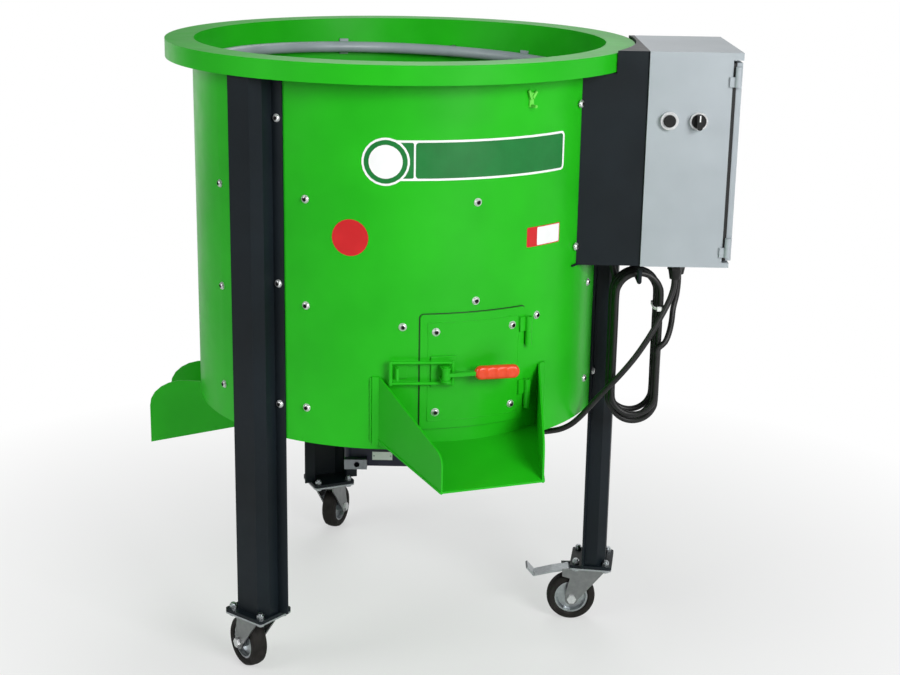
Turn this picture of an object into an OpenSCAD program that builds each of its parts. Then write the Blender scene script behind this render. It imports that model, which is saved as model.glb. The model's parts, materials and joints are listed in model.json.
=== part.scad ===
// Drum walnut huller: an open drum on three caster legs, with a ribbed rotor over its floor,
// a spray ring, a clamped gate over a chute, a waste trough, a worm drive and a switch box.
// Millimetres, +Z up, front towards -Y. Angles are degrees to the right of the front.
// Depths are measured down from the rim top.

/* [Drum] */
// Outer radius of the drum wall
drum_r = 350; // [335:5:380]
// Thickness of the drum sheet
drum_t = 3; // [2:0.5:4]
// Height of the drum from its bottom edge to the rim top
drum_h = 614; // [606:2:650]
// Height of the drum's bottom edge above the ground
drum_z = 429; // [423:2:463]
// Thickness of the drum floor plate
floor_t = 5; // [4:0.5:7]
// Overhang of the rim beyond the drum wall
rim_over = 45; // [36:1:50]
// Depth of the rim's turned-down skirt
rim_skirt = 30; // [22:1:40]
// Thickness of the rim sheet
rim_t = 3; // [2:0.5:4]

/* [Wall liners and screws] */
// Thickness of a liner panel
liner_t = 3; // [2:0.5:4]
// Height of a liner panel
liner_h = 365; // [355:5:380]
// Height of the liners' lower edge above the drum's bottom edge
liner_lift = 49; // [46:1:52]
// Height that the liner ribs stand in from the panel
rib_in = 6; // [4:0.5:8]
// Width of a liner rib
rib_w = 8; // [6:1:12]
// Angle between a leg and the screw column beside it
column_off = 15.5; // [14.5:0.5:17]
// Heights of the three rows of liner screws above the drum's bottom
liner_rows = [398, 228, 59]; // [50:1:410]
// Shank radius of a dome-head screw
screw_r = 3; // [2.5:0.5:3.5]
// Radius of a screw's washer
washer_r = 6.5; // [6:0.5:7.5]
// Height of a screw's dome head
head_h = 3.6; // [3:0.2:4.6]

/* [Legs] */
// Direction of the front left leg
leg_left_a = -38.2; // [-40:0.2:-36]
// Direction of the right leg
leg_right_a = 81.8; // [81:0.2:82.6]
// Direction of the rear leg
leg_rear_a = 204.5; // [202:0.5:207]
// Distance from the drum wall to the outer web of a leg
leg_depth = 36; // [34:1:44]
// Width of a leg across its flanges
leg_w = 74; // [70:1:78]
// Size of the 45 degree folds beside the web
leg_fold = 14; // [10:1:18]
// Width of each lip that lies on the drum
leg_lip = 18.5; // [17:0.5:20]
// Thickness of the leg sheet
leg_t = 3; // [2:0.5:4]
// Sideways distance of the lip screws from the leg's middle
leg_screw_v = 46; // [45:0.5:47]
// Depths of the lip screws
leg_rows = [94, 356, 556]; // [80:1:560]

/* [Base plates and casters] */
// Tangential width of a base plate
base_w = 85; // [80:1:95]
// Radial depth of a base plate
base_d = 75; // [72:1:85]
// Thickness of a base plate
base_t = 6; // [4:1:8]
// Distance of the plate's middle outside the drum wall
base_off = 11; // [9:1:16]
// Tangential spacing of the plate bolts
bolt_sx = 64; // [62:1:66]
// Radial spacing of the plate bolts
bolt_sy = 54; // [52:1:55]
// Shank radius of a plate bolt
bolt_r = 4; // [3:0.5:4]
// Height of a caster from the ground to its plate's top
caster_h = 112; // [111:1:118]
// Radius of a caster wheel
wheel_r = 44; // [40:1:45]
// Width of a tyre
tyre_w = 28; // [24:1:30]
// Radius of the wheel hub inside the tyre
hub_r = 30; // [26:1:32]
// Distance of the wheel's axle behind the swivel axis
trail = 36; // [32:1:38]
// Swivel angle of the front left caster
swivel_left = 126; // [100:1:140]
// Swivel angle of the right caster
swivel_right = 180; // [170:1:190]
// Swivel angle of the rear caster
swivel_rear = 71; // [60:1:90]
// Distance from the swivel axis to the brake pedal's tip
pedal_reach = 120; // [105:1:125]

/* [Gate] */
// Direction of the gate's middle
gate_a = 22; // [21.5:0.1:22.5]
// Width of the gate opening
gate_open_w = 148; // [140:1:150]
// Height of the gate opening
gate_open_h = 158; // [150:1:160]
// Depth of the opening's middle
gate_depth = 485; // [483:1:487]
// Overlap of the door beyond the opening on every side
gate_lap = 15; // [13:1:16]
// Thickness of the door sheet
gate_t = 3; // [2:0.5:4]
// Clearance of the door's liner in the opening
gate_clear = 1; // [0.8:0.1:2]
// From the door's edge to the hinge pins
hinge_side = 6.2; // [6:0.1:8]
// Radius of a hinge knuckle
knuckle_r = 5.5; // [5:0.5:6]
// Radius of a hinge pin
pin_r = 3; // [2.5:0.5:3]
// Height of one hinge
hinge_h = 48; // [40:1:52]
// Middles of the two hinges below the opening's middle
hinge_offs = [-53, 52]; // [-60:1:56]

/* [Clamp] */
// From the gate's middle to the clamp's pivot
clamp_side = 53; // [50:1:55]
// Clamp below the opening's middle
clamp_drop = -2; // [-8:1:-1]
// Height of the pivot above the base plate's seat
clamp_rise = 22; // [20:0.5:24]
// From the gate's middle to the catch's hooking face
catch_side = 130; // [128:1:131]
// Radius of the hook's rod
hook_r = 3; // [2.5:0.5:3]
// Half spacing of the hook's two rods
hook_half = 17; // [16.8:0.1:18]
// Length of the grip
grip_l = 73; // [66:1:76]
// Height of the grip
grip_h = 22; // [20:1:24]

/* [Chutes] */
// Direction of the discharge chute
chute_a = 19.8; // [19.4:0.1:20.2]
// From the door's edge to the chute's wall at the drum
chute_side = 49; // [48:1:54]
// Half width of the chute at its lip
lip_half = 85; // [82:1:90]
// Reach of the chute beyond the drum
chute_reach = 128; // [120:1:140]
// Depth of the chute floor at the drum
chute_depth = 603; // [600:1:605]
// Depth of the side walls' top at the drum
chute_top = 492; // [490:1:500]
// Slope of both chute floors
chute_slope = 14; // [10:1:16]
// Thickness of the chute sheet
chute_t = 3; // [2:0.5:4]
// Direction of the waste trough
waste_a = -98.2; // [-99:0.1:-97]
// Half width of the waste trough inside
waste_half = 60; // [54:1:64]
// Reach of the waste trough beyond the drum
waste_reach = 93; // [85:1:105]
// Drop of the waste trough's lip below the drum's bottom
waste_drop = 118; // [112:1:126]

/* [Spray ring] */
// From the drum's outside to the ring's middle line
spray_in = 18; // [17:1:22]
// Radius of the pipe
pipe_r = 10; // [8:0.5:11]
// Depth of the ring
spray_depth = 55; // [50:1:60]
// Tilt of the ring towards the right
spray_tilt = 1.7; // [0:0.1:2.5]
// Direction of the water inlet
inlet_a = 165; // [158:1:170]
// Length of the hose tail outside the wall nut
inlet_l = 40; // [30:1:60]

/* [Control box] */
// Thickness of the bracket sheet
bracket_t = 3; // [2:0.5:4]
// Y of the bracket's front face
bracket_y = -186; // [-190:1:-182]
// From the drum's outside to the bracket's plate under the box
bracket_out = 49; // [46:1:52]
// Depth of the box body from its back to its flange
box_depth = 133; // [125:1:145]
// Width of the box along Y
box_w = 250; // [245:1:260]
// Height of the box
box_h = 350; // [340:1:360]
// Thickness of the box sheet
box_t = 2; // [1.5:0.5:2.5]
// Height of the box top above the rim
box_rise = 4; // [3:1:8]
// Distance of the push button from the box's back
button_in = 35; // [32:1:40]
// Distance between the push button and the selector
switch_pitch = 47; // [42:1:52]
// Distance of the switches below the box top
switch_down = 109; // [100:1:120]
// Outer radius of a switch bezel
bezel_r = 14.5; // [14:0.5:16]
// Thickness of the box door
door_t = 9; // [8:0.5:12]

/* [Drive] */
// Centre distance of the worm drive
gear_c = 75; // [74:1:76]
// Height of the gearbox housing
gear_h = 120; // [116:1:122]
// Thickness of the gearbox's mounting flange
flange_t = 12; // [10:1:14]
// Radius of the rotor shaft
shaft_r = 15; // [13:1:16]
// Number of worm wheel teeth
wheel_teeth = 30; // [24:1:36]
// Radius of the motor over its fins
motor_r = 68; // [64:1:69]
// Length of the motor body
motor_l = 194; // [190:1:205]

/* [Rotor] */
// Gap between the rotor disc and the drum wall
rotor_gap = 11; // [10:1:17]
// Thickness of the rotor disc
rotor_t = 5; // [4:0.5:6]
// Height of the disc's underside above the floor plate
rotor_lift = 34; // [32:1:36]
// Height of the bars on the disc
bar_h = 12; // [8:1:13]
// Number of bars on the disc
bars = 6; // [4:1:8]

/* [Cords] */
// Diameter of the motor cable and of the mains lead
cord_d = 10; // [8:1:10]
// Half width of a loop of the hanging coil
loop_half = 37; // [36:1:40]
// Distance from one loop to the next
loop_pitch = 11; // [10.8:0.1:12]

/* [Fits] */
// Slack between pieces that are fixed to each other
gap = 0.1; // [0.05:0.05:0.2]
// Radial clearance of a running fit
run = 0.05; // [0.03:0.01:0.08]
// Clearance between the gate and the drum wall
skim = 0.3; // [0.3:0.05:0.5]

/* [Hidden] */
$fn = 64;

// Colours
green = "#1EB414";
anthracite = "#18222A";
zinc = "#AEB4B8";
box_grey = "#B8C0C6";
black = "#141414";
navy = "#12142F";
steel = "#8E9296";

// Heights and radii that the pieces share
drum_ri = drum_r - drum_t;
skin_r = drum_r + gap;
rim_z = drum_z + drum_h;
rim_r = drum_r + rim_over;
floor_top = drum_z + floor_t;
far = 2 * drum_r;
function below(depth) = rim_z - depth;

// Places of the dome-head screws: direction, height, radius of the face under the washer, clamped thickness
leg_angles = [leg_left_a, leg_right_a, leg_rear_a];
next_angles = [leg_right_a, leg_rear_a, leg_left_a + 360];
liner_ro = drum_ri - gap;
liner_ri = liner_ro - liner_t;
liner_z = drum_z + liner_lift;
liner_grip = drum_r - liner_ri;
gate_z = below(gate_depth);
gate_half = gate_open_w / 2 + gate_lap;
gate_top = gate_z + gate_open_h / 2 + gate_lap;
mid_row_z = gate_top + 18;
beside_z = gate_top - 20;
beside_a = 19.1;
liner_screws = concat(
    [for (a = leg_angles, side = [-1, 1], d = liner_rows)
        [a + side * column_off, drum_z + d, drum_r, liner_grip]],
    [for (i = [1, 2], d = liner_rows) [(leg_angles[i] + next_angles[i]) / 2, drum_z + d, drum_r, liner_grip]],
    [[gate_a, drum_z + liner_rows[0], drum_r, liner_grip], [gate_a, mid_row_z, drum_r, liner_grip]],
    [for (side = [-1, 1]) [gate_a + side * beside_a, beside_z, drum_r, liner_grip]]);
leg_screw_a = asin(leg_screw_v / drum_r);
lip_ro = skin_r + leg_t;
lip_screws = [for (a = leg_angles, side = [-1, 1], d = leg_rows)
    [a + side * leg_screw_a, below(d), lip_ro, lip_ro - drum_ri]];
bracket_lip = 16;
bracket_low = rim_z + box_rise - box_h;
bracket_ro = skin_r + bracket_t;
bracket_a = acos(-bracket_y / skin_r);
bracket_screw_a = bracket_a - asin((bracket_lip - washer_r - 1) / skin_r);
bracket_screws = [for (z = [below(80), bracket_low + 33]) [bracket_screw_a, z, bracket_ro,
    bracket_ro - (z > liner_z + liner_h ? drum_ri : liner_ri)]];
all_wall_screws = concat(liner_screws, lip_screws, bracket_screws);
screw_hole_r = screw_r + 0.25;
washer_t = 1;
nut_r = screw_r * 1.9;
nut_h = screw_r * 1.5;
nut_gap = 0.2;

// Legs, base plates and casters
leg_u = drum_r + leg_depth;
leg_z0 = caster_h + base_t;
leg_top = rim_z - rim_skirt - 1;
lip_a0 = asin((leg_w / 2 - leg_t) / skin_r);
lip_a1 = asin((leg_w / 2 + leg_lip) / skin_r);
fold_in = leg_t * (sqrt(2) - 1);
base_r = drum_r + base_off;
caster_plate_t = 3;
race_h = 3;
race_gap = 0.3;
fork_t = 3;
fork_top = caster_h - caster_plate_t - race_h;
fork_plate = 4;
fork_in = tyre_w / 2 + 3;
king_r = 6;
race_ri = 12;
race_ro = 24;
rivet_r = 9;
rivet_h = 3;
axle_r = 5;
axle_head = 5;
boss_r = 12;
bolt_head_r = bolt_r * 1.65;
bolt_head_h = 4.5;
bolt_nut_h = 6;
pedal_x = trail + 8;
pedal_z = fork_top - 11;
pedal_pin = 3;
pedal_t = 3;
pedal_w = 2 * fork_in - 4;
pedal_hub = 6;

// Gate, hinges and clamp
gate_ri = skin_r + skim;
gate_ro = gate_ri + gate_t;
gate_corner = 6;
hinge_r = gate_ro + knuckle_r - 0.5;
hinge_a = gate_a + asin((gate_half + hinge_side) / hinge_r);
hinge_gap = 0.3;
plug_ro = gate_ri - gap;
plug_t = 6;
gate_screw_x = gate_open_w / 2 - 9;
gate_screw_z = gate_open_h / 2 - 13;
clamp_z = gate_z - clamp_drop;
clamp_a = gate_a - asin(clamp_side / gate_ro);
catch_a = gate_a - asin(catch_side / skin_r);
clamp_seat = gate_ro + gap;
clamp_plate_t = 3;
pivot_u = clamp_seat + clamp_rise;
ear_t = 3;
ear_in = 8.5;
ear_out = ear_in + ear_t;
pivot_r = 3;
ear_r = 8;
trunnion_v = 12;
trunnion_u = pivot_u - 7;
trunnion_r = 3;
hook_turn = clamp_a - catch_a;
hook_end_r = skin_r + 12;
hook_end_v = -hook_end_r * sin(hook_turn) - hook_r + 1.6;
hook_end_u = hook_end_r * cos(hook_turn);
hook_dv = hook_end_v - trunnion_v;
hook_du = hook_end_u - trunnion_u;
hook_len = norm([hook_dv, hook_du]);
hook_lean = atan2(hook_du, -hook_dv);
catch_w = 20;
catch_t = 4;
catch_up = 10;
catch_lean = clamp_a + 8;
lever_t = 6;
grip_v = 46;
grip_d = 17;

// Chutes
lip_u = drum_r + chute_reach;
chute_half = gate_half + chute_side;
wall_u0 = sqrt(drum_r * drum_r - chute_half * chute_half);
wall_len = norm([lip_u - wall_u0, chute_half - lip_half]);
wall_turn = atan2(chute_half - lip_half, lip_u - wall_u0);
chute_floor_z = below(chute_depth);
lip_floor_z = chute_floor_z - chute_reach * tan(chute_slope);
wall_top_z = below(chute_top);
wall_slope = 27.4;
lip_corner = 26;
chute_foot = chute_t + 1.2;
flange_w = 10;
waste_u = drum_r + waste_reach;
waste_floor_z = drum_z - waste_drop;
waste_back = drum_r - 160;
waste_flat = drum_r + 22;
waste_end_z = waste_floor_z + 67;
outlet_in = drum_r - 145;
outlet_out = drum_ri - 12;
outlet_half = waste_half - 5;

// Spray ring and water inlet
spray_r = drum_r - spray_in;
spray_z = below(spray_depth);
inlet_z = spray_z - spray_r * sin(inlet_a) * tan(spray_tilt);
inlet_nut = 16;
inlet_nut_t = 8;

// Control bracket, box and switches
bracket_x = drum_r + bracket_out;
box_x = bracket_x + bracket_t;
box_y = bracket_y - 4;
box_top = rim_z + box_rise;
box_z = box_top - box_h;
box_end = box_x + box_depth;
box_back_y = box_y + box_w;
rim_clear = 2;
flange_in = 14;
gasket_t = 5.4;
door_x = box_end + gasket_t + 0.6;
door_gap_y = 2;
canopy_z = 12;
sill_z = 8;
door_z0 = box_z + sill_z + 4;
door_z1 = box_top - canopy_z - 4;
door_out = door_x + door_t;
door_pin_x = door_x + 2;
door_pin_y = box_y - 4.5;
door_knuckle = 5;
door_hinges = [box_z + 18, box_top - 54];
door_hinge_h = 16;
switch_z = box_top - switch_down;
button_x = box_x + button_in;
selector_x = button_x + switch_pitch;
switch_hole = 11.2;
bezel_h = 7;
button_r = 10;
button_out = 5;
knob_r = 11.5;
spindle_r = 6;
lock_y = box_back_y - 25;
lock_z = (door_z0 + door_z1) / 2;
lock_r = 11;
gland_r = 10;
gland_hex = 13;
gland_l = 25;
gland_spots = [[box_x + 61, box_y + 22], [box_x + 72, box_y + 58]];
box_bolt_y = [box_y + 45, box_back_y - 45];
box_bolt_z = [box_z + 40, box_top - 60];

// Worm drive and motor
housing_top = drum_z - flange_t;
housing_z = housing_top - gear_h;
gear_z = housing_z + gear_h / 2;
housing_half = 92;
housing_y = 75;
flange_r = 100;
flange_pcd_r = 82.5;
spigot_r = 45;
boss_h = 11;
wheel_tip = gear_c - 18.5;
worm_r = 18;
wheel_t = 34;
sleeve_r = 28;
cavity_r = wheel_tip + 4;
cavity_h = wheel_t + 12;
worm_tube = 32;
journal_r = 12;
worm_half = 36;
motor_y = housing_y + 8 + gap;
motor_flange_t = 12;
motor_y1 = motor_y + motor_flange_t;
motor_y2 = motor_y1 + motor_l;
motor_shaft_r = 9;
stator_r = 46;
core_r = 44;
fins = 28;
fin_in = 8;
cowl_l = 48;
cowl_t = 2;
fan_y = motor_y2 + 8;
fan_l = 22;
pad_x = gear_c + motor_r + 2;
term_l = 50;
term_y = 128;
term_w = 72;
term_h = 60;
term_t = 3;
term_z = gear_z - 4;
term_gland_x = pad_x + term_l / 2;
term_gland_z = term_z;

// Rotor
rotor_z = floor_top + rotor_lift;
rotor_top = rotor_z + rotor_t;
hub_flange_r = 70;
hub_flange_t = 12;
cap_r = 36;
cap_h = 10;
bar_in = 62;
rotor_r = drum_ri - rotor_gap;
bar_out = rotor_r - 18;
bar_w = 14;
sweepers = 3;
sweep_in = flange_pcd_r + 14;
sweep_out = rotor_r - 8;
sweep_t = 6;
sweep_gap = 3;

// Cord routes from the drum axis, as they hang
cord_r = cord_d / 2;
motor_route = [[463, -168, 672], [462, -169, 657], [457, -172, 639], [448, -177, 620], [437, -182, 600],
    [426, -186, 580], [414, -188, 560], [401, -189, 540], [387, -189, 521], [372, -188, 502],
        [356, -186, 483],
    [340, -182, 463], [326, -178, 444], [313, -171, 426], [300, -160, 410], [286, -145, 397],
        [272, -127, 387],
    [258, -107, 378], [244, -85, 370], [230, -61, 363], [217, -36, 358], [205, -10, 355], [194, 17, 353],
    [184, 44, 353], [176, 70, 353], [172, 85, 353], [170, 94, 353], [170, 103, 353]];
box_corner = [box_x, box_y, box_z];
lead_route = [for (p = [[72, 58, -25], [72, 57, -42], [70, 54, -62], [65, 48, -83],
    [62, 37, -103], [57, 25, -120], [50, 17, -134]])
    box_corner + p];
plug_spot = box_corner + [-41, 54, 28];
plug_r = 20;
plug_l = 62;
relief_l = 26;

// The hanging coil: one tube that winds down the right side, round the bottom, up the left side
// and over the hook
coil_x = box_x;
coil_y = box_y + 13;
coil_top = box_z - 17;
coil_low = box_z - 243;
loops = 4;
loop_rings = 24;
coil_first = 3;
coil_last = loops * loop_rings + 16;
loop_top_z = coil_top - loop_half;
function loop_low_z(k) = coil_low + 9 * (1 + cos(130 * k));
function loop_mid_x(t) = coil_x + 3 * sin(97 * t);
function loop_xz(j, low) =
    j < 4 ? [loop_half, loop_top_z - (loop_top_z - low) * j / 4] :
    j < 12 ? [loop_half * cos((j - 4) * 22.5), low - loop_half * sin((j - 4) * 22.5)] :
    j < 16 ? [-loop_half, low + (loop_top_z - low) * (j - 12) / 4] :
    [-loop_half * cos((j - 16) * 22.5), loop_top_z + loop_half * sin((j - 16) * 22.5)];
function coil_point(i) =
    let (k = floor(i / loop_rings), j = i - k * loop_rings, t = i / loop_rings, q = loop_xz(j,
        loop_low_z(k)))
    [loop_mid_x(t) + q[0], coil_y + loop_pitch * t, q[1]];
coil_start = coil_point(coil_first);
coil_end = coil_point(coil_last);
coil_route = concat([coil_start + [0, 0, cord_d], coil_start],
    [for (i = [coil_first + 1 : coil_last - 1]) coil_point(i)],
    [coil_end, coil_end + [0, 0, cord_d]]);
coil_gap = min([for (i = [0 : len(coil_route) - 1], j = [i + 6 : 1 : len(coil_route) - 1])
    norm(coil_route[i] - coil_route[j])]) - cord_d;
echo(str("least gap of the coil to itself, mm: ", coil_gap));
hook_rod = 4;
hook_rod_z = coil_top - cord_r - 0.3 - hook_rod;

// Origin at the middle of the ground under the object
reach_right = door_out + 4;
reach_left = waste_u * sin(waste_a) + (waste_half + chute_t) * cos(waste_a);
reach_front = -lip_u * cos(chute_a) - (lip_half + chute_t) * sin(chute_a);
reach_rear = -base_r * cos(leg_rear_a) + (trail + wheel_r) * sin(swivel_rear) + tyre_w / 2 *
    cos(swivel_rear);
axis_x = -(reach_right + reach_left) / 2;
axis_y = -(reach_front + reach_rear) / 2;
module in_frame() { translate([axis_x, axis_y, 0]) children(); }

// Shared shapes
module at(a) { rotate([0, 0, a]) children(); }
module radial(a, r, z) { rotate([0, 0, a]) translate([0, -r, z]) rotate([90, 0, 0]) children(); }
module along_y(x, y, z) { translate([x, y, z]) rotate([-90, 0, 0]) children(); }
module along_x(x, y, z) { translate([x, y, z]) rotate([0, 90, 0]) children(); }
module ring(ro, ri, z0, z1) {
    translate([0, 0, z0]) difference() {
        cylinder(r = ro, h = z1 - z0);
        translate([0, 0, -1]) cylinder(r = ri, h = z1 - z0 + 2);
    }
}
module rounded(w, h, r) {
    square([w - 2 * r, h], center = true);
    square([w, h - 2 * r], center = true);
    for (sx = [-1, 1], sy = [-1, 1]) translate([sx * (w / 2 - r), sy * (h / 2 - r)]) circle(r);
}
module box(low, high) { translate(low) cube(high - low); }
module drum_cut() { translate([0, 0, drum_z - 60]) cylinder(r = skin_r, h = drum_h + 120, $fn = 360); }
module screw(grip) {
    top = washer_t + head_h;
    tail = grip + nut_gap + nut_h + 1.5;
    difference() {
        union() {
            rotate_extrude() polygon([[0, -tail], [screw_r, -tail], [screw_r, 0], [washer_r, 0],
                [washer_r, washer_t], [washer_r - 0.6, washer_t],
                    [washer_r - 0.9, washer_t + 0.35 * head_h],
                [washer_r - 1.9, washer_t + 0.72 * head_h], [washer_r - 3.6, top], [0, top]]);
            translate([0, 0, -grip - nut_gap - nut_h]) cylinder(r = nut_r, h = nut_h, $fn = 6);
        }
        translate([0, 0, top - 2.2]) cylinder(r = screw_r * 0.75, h = 3, $fn = 6);
    }
}
module screw_holes(list) {
    for (s = list) radial(s[0], drum_r - 30, s[1]) cylinder(r = screw_hole_r, h = 60);
}

// Tube swept along a list of points, with its rings carried along without twist
function unit(v) = v / norm(v);
function tangent(p, i) = unit(p[min(i + 1, len(p) - 1)] - p[max(i - 1, 0)]);
function square_to(n, t) = unit(n - (n * t) * t);
function carried(p, n, i) = i == len(p) ? [] :
    let (m = square_to(n, tangent(p, i))) concat([m], carried(p, m, i + 1));
module tube(p, r, sides) {
    n = carried(p, [0.31, 0.93, 0.2], 0);
    count = len(p);
    points = [for (i = [0 : count - 1], j = [0 : sides - 1])
        let (t = tangent(p, i), b = cross(t, n[i]), a = 360 * j / sides)
        p[i] + r * (n[i] * cos(a) + b * sin(a))];
    sides_a = [for (i = [0 : count - 2], j = [0 : sides - 1])
        [i * sides + j, (i + 1) * sides + j, i * sides + (j + 1) % sides]];
    sides_b = [for (i = [0 : count - 2], j = [0 : sides - 1])
        [i * sides + (j + 1) % sides, (i + 1) * sides + j, (i + 1) * sides + (j + 1) % sides]];
    first_cap = [for (j = [1 : sides - 2]) [0, j, j + 1]];
    last = (count - 1) * sides;
    last_cap = [for (j = [1 : sides - 2]) [last, last + j + 1, last + j]];
    polyhedron(points, concat(sides_a, sides_b, first_cap, last_cap));
}

// Drum
module gate_cut(w, h, depth_in) {
    at(gate_a) translate([-w / 2, -drum_r - 20, gate_z - h / 2]) cube([w, 20 + depth_in, h]);
}
module drum_shell() {
    color(green) in_frame() difference() {
        ring(drum_r, drum_ri, drum_z, rim_z - rim_t);
        gate_cut(gate_open_w, gate_open_h, 60);
        screw_holes(all_wall_screws);
        radial(inlet_a, drum_r - 20, inlet_z) cylinder(r = pipe_r + 0.5, h = 40);
    }
}
module drum_rim() {
    color(green) in_frame() {
        ring(rim_r, drum_ri, rim_z - rim_t, rim_z);
        ring(rim_r, rim_r - rim_t, rim_z - rim_skirt, rim_z - rim_t / 2);
    }
}
module flange_bolt_spots() {
    for (i = [0 : 3]) rotate([0, 0, 45 + 90 * i]) translate([flange_pcd_r, 0, 0]) children();
}
module drum_floor() {
    color(green) in_frame() difference() {
        translate([0, 0, drum_z]) cylinder(r = drum_ri - gap, h = floor_t);
        translate([0, 0, drum_z - 1]) cylinder(r = spigot_r + gap, h = floor_t + 2);
        at(waste_a) translate([-outlet_half, -outlet_out, drum_z - 1])
            cube([2 * outlet_half, outlet_out - outlet_in, floor_t + 2]);
        flange_bolt_spots() translate([0, 0, drum_z - 1]) cylinder(r = bolt_r + 0.3, h = floor_t + 2);
    }
}
module fan_wedge(a0, a1) {
    mid = (a0 + a1) / 2;
    polygon(concat([[0, 0]], [for (a = [a0, (a0 + mid) / 2, mid, (a1 + mid) / 2, a1]) far *
        [sin(a), -cos(a)]]));
}
liner_margin = 11;
rib_angles = [-37, -28, -10, 10, 28, 37];
module liner_section(a0, a1) {
    intersection() {
        difference() {
            circle(liner_ro);
            circle(liner_ri);
        }
        fan_wedge(a0, a1);
    }
    for (a = rib_angles) rotate((a0 + a1) / 2 + a) translate([-rib_w / 2, -liner_ri - liner_t / 2])
        square([rib_w, rib_in + liner_t / 2]);
}
module liner_panel(a0, a1) {
    difference() {
        translate([0, 0, liner_z]) linear_extrude(liner_h) liner_section(a0, a1);
        gate_cut(gate_open_w + 14, gate_open_h + 14, 80);
        screw_holes(concat(liner_screws, bracket_screws));
    }
}
module wall_liners() {
    color(steel) in_frame() for (i =
        [0 : 2]) liner_panel(leg_angles[i] + liner_margin, next_angles[i] - liner_margin);
}
module wall_screws() {
    color(zinc) in_frame() for (s = all_wall_screws) radial(s[0], s[2], s[1]) screw(s[3]);
}

// Legs
module leg_section() {
    w = leg_w / 2;
    deep = skin_r * cos(lip_a1) - 6;
    difference() {
        polygon([[-w, -deep], [-w, -leg_u + leg_fold], [-w + leg_fold, -leg_u],
            [w - leg_fold, -leg_u], [w, -leg_u + leg_fold], [w, -deep]]);
        polygon([[-w + leg_t, -deep + 1], [-w + leg_t, -leg_u + leg_fold + fold_in],
            [-w + leg_fold + fold_in, -leg_u + leg_t], [w - leg_fold - fold_in, -leg_u + leg_t],
            [w - leg_t, -leg_u + leg_fold + fold_in], [w - leg_t, -deep + 1]]);
        circle(skin_r);
    }
    intersection() {
        difference() {
            circle(lip_ro);
            circle(skin_r);
        }
        for (s = [-1, 1]) polygon([[0, 0], far * [s * sin(lip_a0), -cos(lip_a0)], far *
            [s * sin(lip_a1), -cos(lip_a1)]]);
    }
}
module leg(a) {
    color(anthracite) in_frame() difference() {
        at(a) translate([0, 0, leg_z0]) linear_extrude(leg_top - leg_z0) leg_section();
        screw_holes(lip_screws);
    }
}
module leg_front_left() { leg(leg_left_a); }
module leg_right() { leg(leg_right_a); }
module leg_rear() { leg(leg_rear_a); }
module at_bases() { for (a = leg_angles) at(a) translate([0, -base_r, 0]) children(); }
module bolt_spots() {
    for (sx = [-1, 1], sy = [-1, 1]) translate([sx * bolt_sx / 2, sy * bolt_sy / 2, 0]) children();
}
module base_plates() {
    color(anthracite) in_frame() at_bases() difference() {
        translate([0, 0, caster_h]) linear_extrude(base_t) rounded(base_w, base_d, 6);
        bolt_spots() translate([0, 0, caster_h - 1]) cylinder(r = bolt_r + 0.3, h = base_t + 2);
    }
}
module caster_plates() {
    color(zinc) in_frame() at_bases() {
        plate_z = caster_h - caster_plate_t;
        difference() {
            translate([0, 0, plate_z]) linear_extrude(caster_plate_t) rounded(base_w, base_d, 6);
            bolt_spots() translate([0, 0, plate_z - 1]) cylinder(r = bolt_r + 0.3, h = caster_plate_t + 2);
        }
        ring(race_ro, race_ri, fork_top + race_gap, plate_z + 0.5);
        translate([0, 0, fork_top - fork_plate - race_gap])
            cylinder(r = king_r, h = fork_plate + race_h + race_gap + 0.5);
        translate([0, 0, fork_top - fork_plate - race_gap - rivet_h]) cylinder(r = rivet_r, h = rivet_h);
    }
}
module hex_bolt(grip) {
    cylinder(r = bolt_head_r, h = bolt_nut_h, $fn = 6);
    translate([0, 0, -grip - bolt_head_h]) cylinder(r = bolt_head_r, h = bolt_head_h, $fn = 6);
    translate([0, 0, -grip - 1]) cylinder(r = bolt_r, h = grip + bolt_nut_h + 4);
}
module plate_bolts() {
    color(zinc) in_frame() {
        at_bases() bolt_spots() translate([0, 0, caster_h + base_t]) hex_bolt(base_t + caster_plate_t);
        flange_bolt_spots() translate([0, 0, floor_top]) hex_bolt(floor_t + flange_t);
        for (y = box_bolt_y, z = box_bolt_z) along_x(box_x + box_t, y, z) hex_bolt(box_t + bracket_t);
    }
}

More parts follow.
